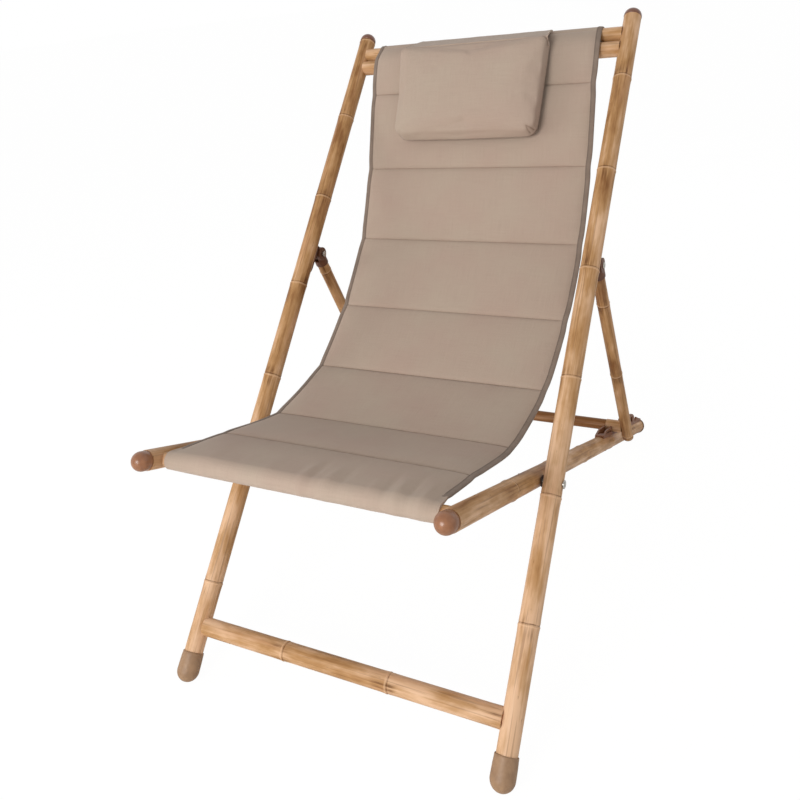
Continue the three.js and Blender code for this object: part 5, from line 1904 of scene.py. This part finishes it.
    def stitching(self, stations: Sequence[Station], end_run: float) -> list[bpy.types.Object]:
        """Sews the seams between the channels and the inner edges of both tapes."""
        made = []
        seams = [s for s in stations if any(abs(s.run - run) < 1e-9 for run in self.path.sewn_runs)]
        for face, label in ((1, "front"), (-1, "back")):
            lines = []
            for number, station in enumerate(seams):
                half = self.edge_at(station) - self.tape_width
                places = [(i / 30 - 1) * half for i in range(61)]
                points = [(station.at(x, self.lift(x, station, end_run, face)), station.normal * face)
                          for x in places]
                lines.append(self.line(f"seam_line_{label}_{number}", points))
            made.append(self.sewn(f"seam_stitches_{label}", lines, THREAD))
        for side, label in SIDES:
            lines = []
            for face in (1, -1):
                points = []
                for station in stations[2:]:
                    if self.hemmed(station, end_run) > 0.0:
                        break
                    x = self.edge_at(station) - self.tape_width + self.stitch_inset
                    rise = face * self.tape_half * self.nipped(station) * self.stitch_lift
                    rise += self.gather(side * x, station, end_run) * self.tape_follows
                    points.append((station.at(side * x, rise), station.normal * face))
                lines.append(self.line(f"tape_line_{label}_{face}", points))
            made.append(self.sewn(f"tape_stitches_{label}", lines, TAPE_THREAD))
        return made

    def sewn(self, name: str, lines: Sequence[bpy.types.Object],
             finish: Finish) -> bpy.types.Object:
        """Sews along each line and joins the stitches into one piece."""
        together = bmesh.new()
        for line in lines:
            STITCHES.use(line, material=finish.material())
            together.from_mesh(line.data)
            bpy.data.objects.remove(line)
        data = bpy.data.meshes.new(name)
        together.to_mesh(data)
        together.free()
        piece = smith.placed(name, data)
        return smith.finish(piece, finish, None)


@dataclass
class Headrest:
    """The boxed headrest cushion and the flap that carries it over the top bar."""

    path: SlingPath
    width: float = 0.306
    height: float = 0.184
    thickness: float = 0.041
    wall: float = 0.032
    upper_corner: float = 0.010
    lower_corner: float = 0.020
    taper: float = 0.046
    skew: float = 0.005
    stand_off: float = 0.0102
    drop: float = 0.0102
    aside: float = 0.004
    tuck: float = 0.009
    flap_half: float = 0.001
    flap_back: float = 0.12
    flap_width: float = 0.275
    flap_shift: float = -0.002
    flap_flare: float = 0.085
    flap_bow: float = 0.006
    flap_clearance: float = 0.0018
    flap_hem: float = 0.0005
    flap_wave: float = 0.0004
    flap_tuck: float = 0.002
    flap_columns: int = 68
    flap_back_rows: int = 14
    flap_turn_rows: int = 24
    wrinkle: float = 0.0006
    billow: float = 0.0005
    deep_fold: float = 0.0009
    faint_fold: float = 0.0002
    wall_hollow: float = 0.0009
    # Height of the band low on the walls that gets the painted contact shadow, and of the line where it is
    # darkest.
    painted_shadow_band: float = 0.014
    painted_shadow_height: float = 0.004
    voxel: float = 0.004
    pressure: float = 2.2
    swell_frames: int = 20
    cap: float = 0.0035

    def __post_init__(self) -> None:
        """Works out the cushion's own frame, which lies along the sling's upper part."""
        low, high = self.path.seams[0], self.path.knots[1]
        self.tilt = math.atan2(high.z - low.z, high.y - low.y)
        bay = Bay(low, self.tilt)
        self.bay = Bay(low + bay.out * self.stand_off - bay.along * self.drop, self.tilt)

    def outline(self, inset: float) -> list[tuple[float, float]]:
        """Gives the corners of the cushion's outline, drawn in by an inset.

        Args:
            inset: How far inside the full outline it runs, in metres.

        Returns:
            Points anticlockwise, with as many points for each inset.
        """
        half_w, half_h = self.width / 2 - inset, self.height / 2 - inset
        corners = ((1, -1, -90), (1, 1, 0), (-1, 1, 90), (-1, -1, 180))
        runs = (26, 44, 26, 44)
        arcs = []
        for side, rise, start in corners:
            full = self.upper_corner if rise > 0 else self.lower_corner
            radius = max(full - inset, 0.0015)
            cx, cy = side * (half_w - radius), rise * (half_h - radius)
            turns = [math.radians(start + 90 * i / 8) for i in range(9)]
            arcs.append([(cx + radius * math.cos(t), cy + radius * math.sin(t)) for t in turns])
        points: list[tuple[float, float]] = []
        for arc, after, run in zip(arcs, [*arcs[1:], arcs[0]], runs):
            (ax, ay), (bx, by) = arc[-1], after[0]
            points += arc
            points += [(ax + (bx - ax) * i / run, ay + (by - ay) * i / run) for i in range(1, run)]
        return points

    def tailored(self, x: float, y: float) -> tuple[float, float]:
        """Narrows the cushion towards its lower edge and draws that edge to one side."""
        down = 0.5 - y / self.height
        return x * (1 - self.taper * down) - self.skew * down - self.aside, y

    def tucked(self, x: float, y: float, rise: float, share: float) -> Vector:
        """Places a corner, with the face's lower edge drawn up by a share of the tuck."""
        down = max(0.5 - y / self.height, 0.0)
        return Vector((*self.tailored(x, y + self.tuck * share * down ** 3), rise))

    def block(self) -> Shape:
        """Makes the cushion before it is stuffed: side walls, a firm edge and a crowned face."""
        levels = [(0.016, 0.0, 0.0), (0.006, 0.0003, 0.0), (0.0014, 0.002, 0.0), (0.0002, 0.006, 0.0),
                  (0.0, 0.012, 0.05), (0.0, 0.020, 0.25), (0.0, self.wall - 0.004, 0.68),
                  (0.0004, self.wall - 0.001, 0.9), (0.0022, self.wall + 0.0008, 1.0),
                  (0.006, self.wall + 0.002, 1.0)]
        rings = []
        for inset, rise, share in levels:
            rings.append([self.tucked(x, y, rise, share) for x, y in self.outline(inset)])
        start, face = self.wall + 0.002, self.outline(0.006)
        for share in (0.06, 0.14, 0.24, 0.36, 0.5, 0.64, 0.78, 0.9, 0.985):
            rise = start + (self.thickness - start) * math.sin(math.pi / 2 * share) ** 0.7
            rings.append([self.tucked(x * (1 - share * self.height / self.width), y * (1 - share),
                                      rise, 1.0) for x, y in face])
        return Shape.lofted(rings)

    def stuff(self, piece: bpy.types.Object) -> None:
        """Remeshes the cushion in its own frame and lets Cloth swell it, within a cap."""
        smith.modify(piece, "REMESH", mode="VOXEL", voxel_size=self.voxel)
        rest = [v.co.copy() for v in piece.data.vertices]
        group = piece.vertex_groups.new(name="held")
        for index, point in enumerate(rest):
            group.add([index], 1.0 if point.z < self.voxel else 0.0, "REPLACE")
        modifier = piece.modifiers.new("Cloth", "CLOTH")
        settings = modifier.settings
        settings.quality = 6
        settings.mass = 0.25
        settings.use_pressure = True
        settings.uniform_pressure_force = self.pressure
        settings.tension_stiffness = settings.compression_stiffness = 30
        settings.shear_stiffness = 12
        settings.bending_stiffness = 2.0
        settings.effector_weights.gravity = 0.0
        settings.vertex_group_mass = "held"
        modifier.point_cache.frame_start, modifier.point_cache.frame_end = 1, self.swell_frames
        scene = bpy.context.scene
        for step in range(1, self.swell_frames + 1):
            scene.frame_set(step)
        smith.settle(piece)
        scene.frame_set(1)
        for vertex, start in zip(piece.data.vertices, rest):
            shift = vertex.co - start
            if shift.length > self.cap:
                vertex.co = start + shift * (self.cap / shift.length)
        smith.modify(piece, "SMOOTH", factor=0.5, iterations=3)
        smith.modify(piece, "SUBSURF", levels=1, render_levels=1)

    def mitre(self, x: float, y: float) -> float:
        """Gives the distance to the nearest fold of the mitred corners, in metres."""
        down = 0.5 - y / self.height
        x = (x + self.skew * down + self.aside) / (1 - self.taper * down)
        radius = 0.55 * (self.lower_corner if y < 0 else self.upper_corner) + 0.005
        cx, cy = self.width / 2 - radius, self.height / 2 - radius
        dx, dy = abs(x) - cx, abs(y) - cy
        nearest = 0.02
        for turn in (22, 66):
            ux, uy = math.cos(math.radians(turn)), math.sin(math.radians(turn))
            forward, aside = dx * ux + dy * uy, abs(dx * uy - dy * ux)
            nearest = min(nearest, math.hypot(min(forward, 0.0), aside))
        return nearest

    def tailor(self, piece: bpy.types.Object) -> None:
        """Puckers the face towards its edge, folds the mitred corners and draws in the side walls of the
        stuffed cushion.
        """
        for vertex in piece.data.vertices:
            x, y, z = vertex.co
            near = min(self.width / 2 - abs(x), self.height / 2 - abs(y))
            if z > self.wall * 0.7:
                wrinkle = self.wrinkle * wander(x * 48, y * 48, z * 36)
                vertex.co.z += (wrinkle * math.exp(-max(near, 0.0) / 0.012)
                                + self.billow * wander(x * 13, y * 13, 2.4))
            fold = bump(self.mitre(x, y), 0.0022) * limited(z / 0.02)
            fold *= self.deep_fold if x > 0 > y else self.faint_fold
            vertex.co.x -= math.copysign(fold, x)
            vertex.co.y -= math.copysign(fold, y)
            if self.wall * 0.25 < z < self.wall * 0.9:
                hollow = math.sin(math.pi * (z / self.wall - 0.25) / 0.65)
                draw = self.wall_hollow * hollow * (1 + 0.8 * wander(x * 20, y * 20, 6.1))
                if self.height / 2 - abs(y) < self.width / 2 - abs(x):
                    vertex.co.y -= math.copysign(draw, y)
                else:
                    vertex.co.x -= math.copysign(draw, x)

    def build(self) -> None:
        """Makes the cushion and its flap."""
        piece = smith.mesh("headrest_pad", self.block())
        self.stuff(piece)
        self.tailor(piece)
        corners = [tuple(vertex.co) for vertex in piece.data.vertices]
        smith.store(piece, "cloth_place", [v for corner in corners for v in corner], "FLOAT_VECTOR")
        # Painted shade: seam is the distance to a mitre fold, or to the painted contact shadow low on the
        # walls; sewn sets its strength, full in that band and strongest at the lower right mitre.
        smith.store(piece, "seam", [
            self.mitre(x, y) if z > self.painted_shadow_band else abs(z - self.painted_shadow_height)
            for x, y, z in corners])
        smith.store(piece, "sewn", [
            1.0 if z < self.painted_shadow_band else 0.6 if x > 0 > y else 0.1 for x, y, z in corners])
        piece.data.transform(self.bay.matrix)
        smith.finish(piece, CLOTH, Body.MAIN, "headrest_cushion")
        self.flap()

    def flap_rows(self) -> list[tuple[Vector, Vector]]:
        """Gives the flap's line: up behind the bar, round it and straight on to the cushion."""
        main, top = LAYOUT.main, self.path.top
        radius = self.path.top_loop_radius + self.flap_clearance + self.flap_half
        behind = math.atan2(-main.out.z, -main.out.y)
        edge = self.bay.at(0, self.height / 2 - 0.001, self.wall - 0.007)
        sunk = self.bay.at(0, self.height / 2 - 0.016, self.wall - 0.016)
        reach = edge - top
        leave = math.atan2(reach.z, reach.y) - math.acos(radius / reach.length)
        while leave < behind:
            leave += math.tau
        rows: list[tuple[Vector, Vector]] = []
        back = top - main.out * radius
        for i in range(self.flap_back_rows):
            share = 1 - i / self.flap_back_rows
            bow = self.flap_bow * share
            rows.append((back - main.along * (self.flap_back * share) - main.out * bow, -main.out))
        for i in range(self.flap_turn_rows + 1):
            normal = spoke(behind + (leave - behind) * i / self.flap_turn_rows)
            rows.append((top + normal * radius, normal))
        lead, normal = rows[-1]
        rows += [(lead.lerp(edge, i / 12), normal) for i in range(1, 13)]
        rows += [(edge.lerp(sunk, i / 5), self.bay.out) for i in range(1, 6)]
        return rows

    def flap(self) -> None:
        """Makes the flap that lies over the top bar and hangs behind it."""
        rows = self.flap_rows()
        half, straight = self.flap_width / 2, self.flap_back_rows + self.flap_turn_rows
        shares = spread(self.flap_columns, 0.4)
        rings, places, run = [], [], 0.0
        for number, (point, normal) in enumerate(rows):
            run += (point - rows[number - 1][0]).length if number else 0.0
            last = max(0.0, (number - straight) / (len(rows) - 1 - straight))
            ring = []
            flare = 1 + self.flap_flare * min(last * 1.4, 1.0)
            for face, share in round_both(shares):
                hem = self.flap_hem * bump(1 - abs(share), 0.04)
                wave = self.flap_wave * wander(share * 9, run * 22, 4.2)
                end = max(0.0, (abs(share) - 0.9) / 0.1)
                tuck = self.flap_tuck * math.sin(math.pi * 2.2 * end) * last * end
                rise = face * (self.flap_half + hem) + wave + tuck
                x = share * half * flare + self.flap_shift * (1 - last)
                ring.append(Vector((x, 0, 0)) + point + normal * rise)
                places += [x, run, 0.0]
            rings.append(ring)
        piece = smith.mesh("headrest_flap_cloth", Shape.lofted(rings))
        smith.store(piece, "cloth_place", places, "FLOAT_VECTOR")
        smith.store(piece, "seam", [0.02] * len(piece.data.vertices))
        smith.store(piece, "sewn", [0.0] * len(piece.data.vertices))
        smith.finish(piece, CLOTH, Body.MAIN, "headrest_flap")
        2 * half


# Setting

@dataclass
class HiddenPieces:
    """The dowels inside the bars, whose nodes keep their shape."""

    def build(self) -> None:
        """Gives each node that is still shown the dowels' finish."""
        for name, node in frame["nodes"].items():
            if node.hide_render:
                continue
            node.data.materials.clear()
            node.data.materials.append(DOWEL.material())
            log.info("%s keeps its shape", name)


@dataclass
class Studio:
    """The camera, the lamps, the floor and the sky."""

    camera_place: tuple[float, float, float] = (0.6515, -1.22816, 1.04681)
    azimuth: float = math.radians(29.152)
    elevation: float = math.radians(20.971)
    roll: float = math.radians(-7.277)
    focal_px: float = 826.47
    centre_px: tuple[float, float] = (413.49, 303.54)
    frame_px: float = 800.0
    sky: float = 0.51
    lamp_aim: tuple[float, float, float] = (0.0, 0.0, 0.5)
    lamp_rows: tuple[tuple[str, tuple[float, float, float], float, float], ...] = (
        ("key", (-0.4, -3.1, 1.5), 1.3, 54), ("left", (-2.8, -1.6, 0.9), 1.2, 20),
        ("back", (1.6, 2.6, 1.8), 1.8, 14))

    def build(self) -> None:
        """Sets the scene."""
        self.camera()
        self.lamps()
        self.floor()
        self.world()
        bpy.context.scene.view_settings.view_transform = "Standard"

    def camera(self) -> None:
        """Places the camera where the photograph was taken from."""
        sin, cos = math.sin, math.cos
        right = Vector((cos(self.azimuth), sin(self.azimuth), 0))
        forward = Vector((-sin(self.azimuth) * cos(self.elevation),
                          cos(self.azimuth) * cos(self.elevation), -sin(self.elevation)))
        up = right.cross(forward)
        turned_right = right * cos(self.roll) + up * sin(self.roll)
        turned_up = up * cos(self.roll) - right * sin(self.roll)
        data = bpy.data.cameras.new("camera")
        data.sensor_width = 36.0
        data.lens = self.focal_px / self.frame_px * data.sensor_width
        data.shift_x = (self.frame_px / 2 - self.centre_px[0]) / self.frame_px
        data.shift_y = (self.centre_px[1] - self.frame_px / 2) / self.frame_px
        camera = smith.placed("camera", data)
        columns = (turned_right, turned_up, -forward)
        matrix = Matrix([[c[i] for c in columns] for i in range(3)]).to_4x4()
        camera.matrix_world = Matrix.Translation(self.camera_place) @ matrix
        bpy.context.scene.camera = camera

    def lamps(self) -> None:
        """Sets soft square lamps, of which only the key lamp leaves highlights.

        Each row of the table says its name, its place, the length of its sides and its watts.
        """
        for name, place, size, power in self.lamp_rows:
            data = bpy.data.lights.new(name, "AREA")
            data.shape, data.size, data.energy = "SQUARE", size, power
            lamp = smith.placed(name, data)
            aim = (Vector(self.lamp_aim) - Vector(place)).to_track_quat("-Z", "Y")
            lamp.matrix_world = Matrix.Translation(place) @ aim.to_matrix().to_4x4()
            lamp.visible_glossy = name == "key"

    def floor(self) -> None:
        """Lays the pale floor, which shows as white and keeps a soft shadow."""
        shape = Shape([Vector((x, y, -0.0005)) for x, y in ((-60, -60), (60, -60), (60, 60), (-60, 60))],
                      [(0, 1, 2, 3)])
        piece = smith.mesh("floor", shape)
        paint = Paint("pale_floor")
        paint.plug(paint.shader.inputs["Base Color"], tint(244, 243, 241))
        paint.plug(paint.shader.inputs["Roughness"], 0.9)
        glow = paint.node("ShaderNodeEmission", None, {"Color": (1, 1, 1, 1), "Strength": 1.02})
        rays = paint.node("ShaderNodeLightPath")
        seen = Wire(paint, rays.outputs["Is Camera Ray"]) * 0.95
        mix = paint.node("ShaderNodeMixShader", None, {
            0: seen, 1: paint.shader.outputs[0], 2: glow.outputs[0]})
        paint.plug(paint.output.inputs["Surface"], mix.outputs[0])
        piece.data.materials.append(paint.material)

    def world(self) -> None:
        """Makes the even sky, white where it is seen."""
        world = bpy.data.worlds.new("sky")
        bpy.context.scene.world = world
        world.use_nodes = True
        graph = Graph(world.node_tree)
        graph.tree.nodes.clear()
        rays = graph.node("ShaderNodeLightPath")
        shown = (Wire(graph, rays.outputs["Is Camera Ray"]) + Wire(graph, rays.outputs["Is Glossy Ray"])
                 + Wire(graph, rays.outputs["Is Transmission Ray"])).clamped()
        plain, white = (graph.node("ShaderNodeBackground", None, {
            "Color": (1, 1, 1, 1), "Strength": strength}) for strength in (self.sky, 1.0))
        mix = graph.node("ShaderNodeMixShader", None, {
            0: shown, 1: plain.outputs[0], 2: white.outputs[0]})
        graph.node("ShaderNodeOutputWorld", None, {"Surface": mix.outputs[0]})


def main() -> None:
    """Builds the recliner and its setting in order."""
    logging.basicConfig(level=logging.INFO, format="%(name)s: %(message)s")
    Studio().build()
    MainFrame().build()
    SeatFrame().build()
    PropFrame().build()
    sling = Sling()
    sling.build()
    Headrest(sling.path).build()
    HiddenPieces().build()
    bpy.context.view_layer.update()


if __name__ == "__main__":
    main()
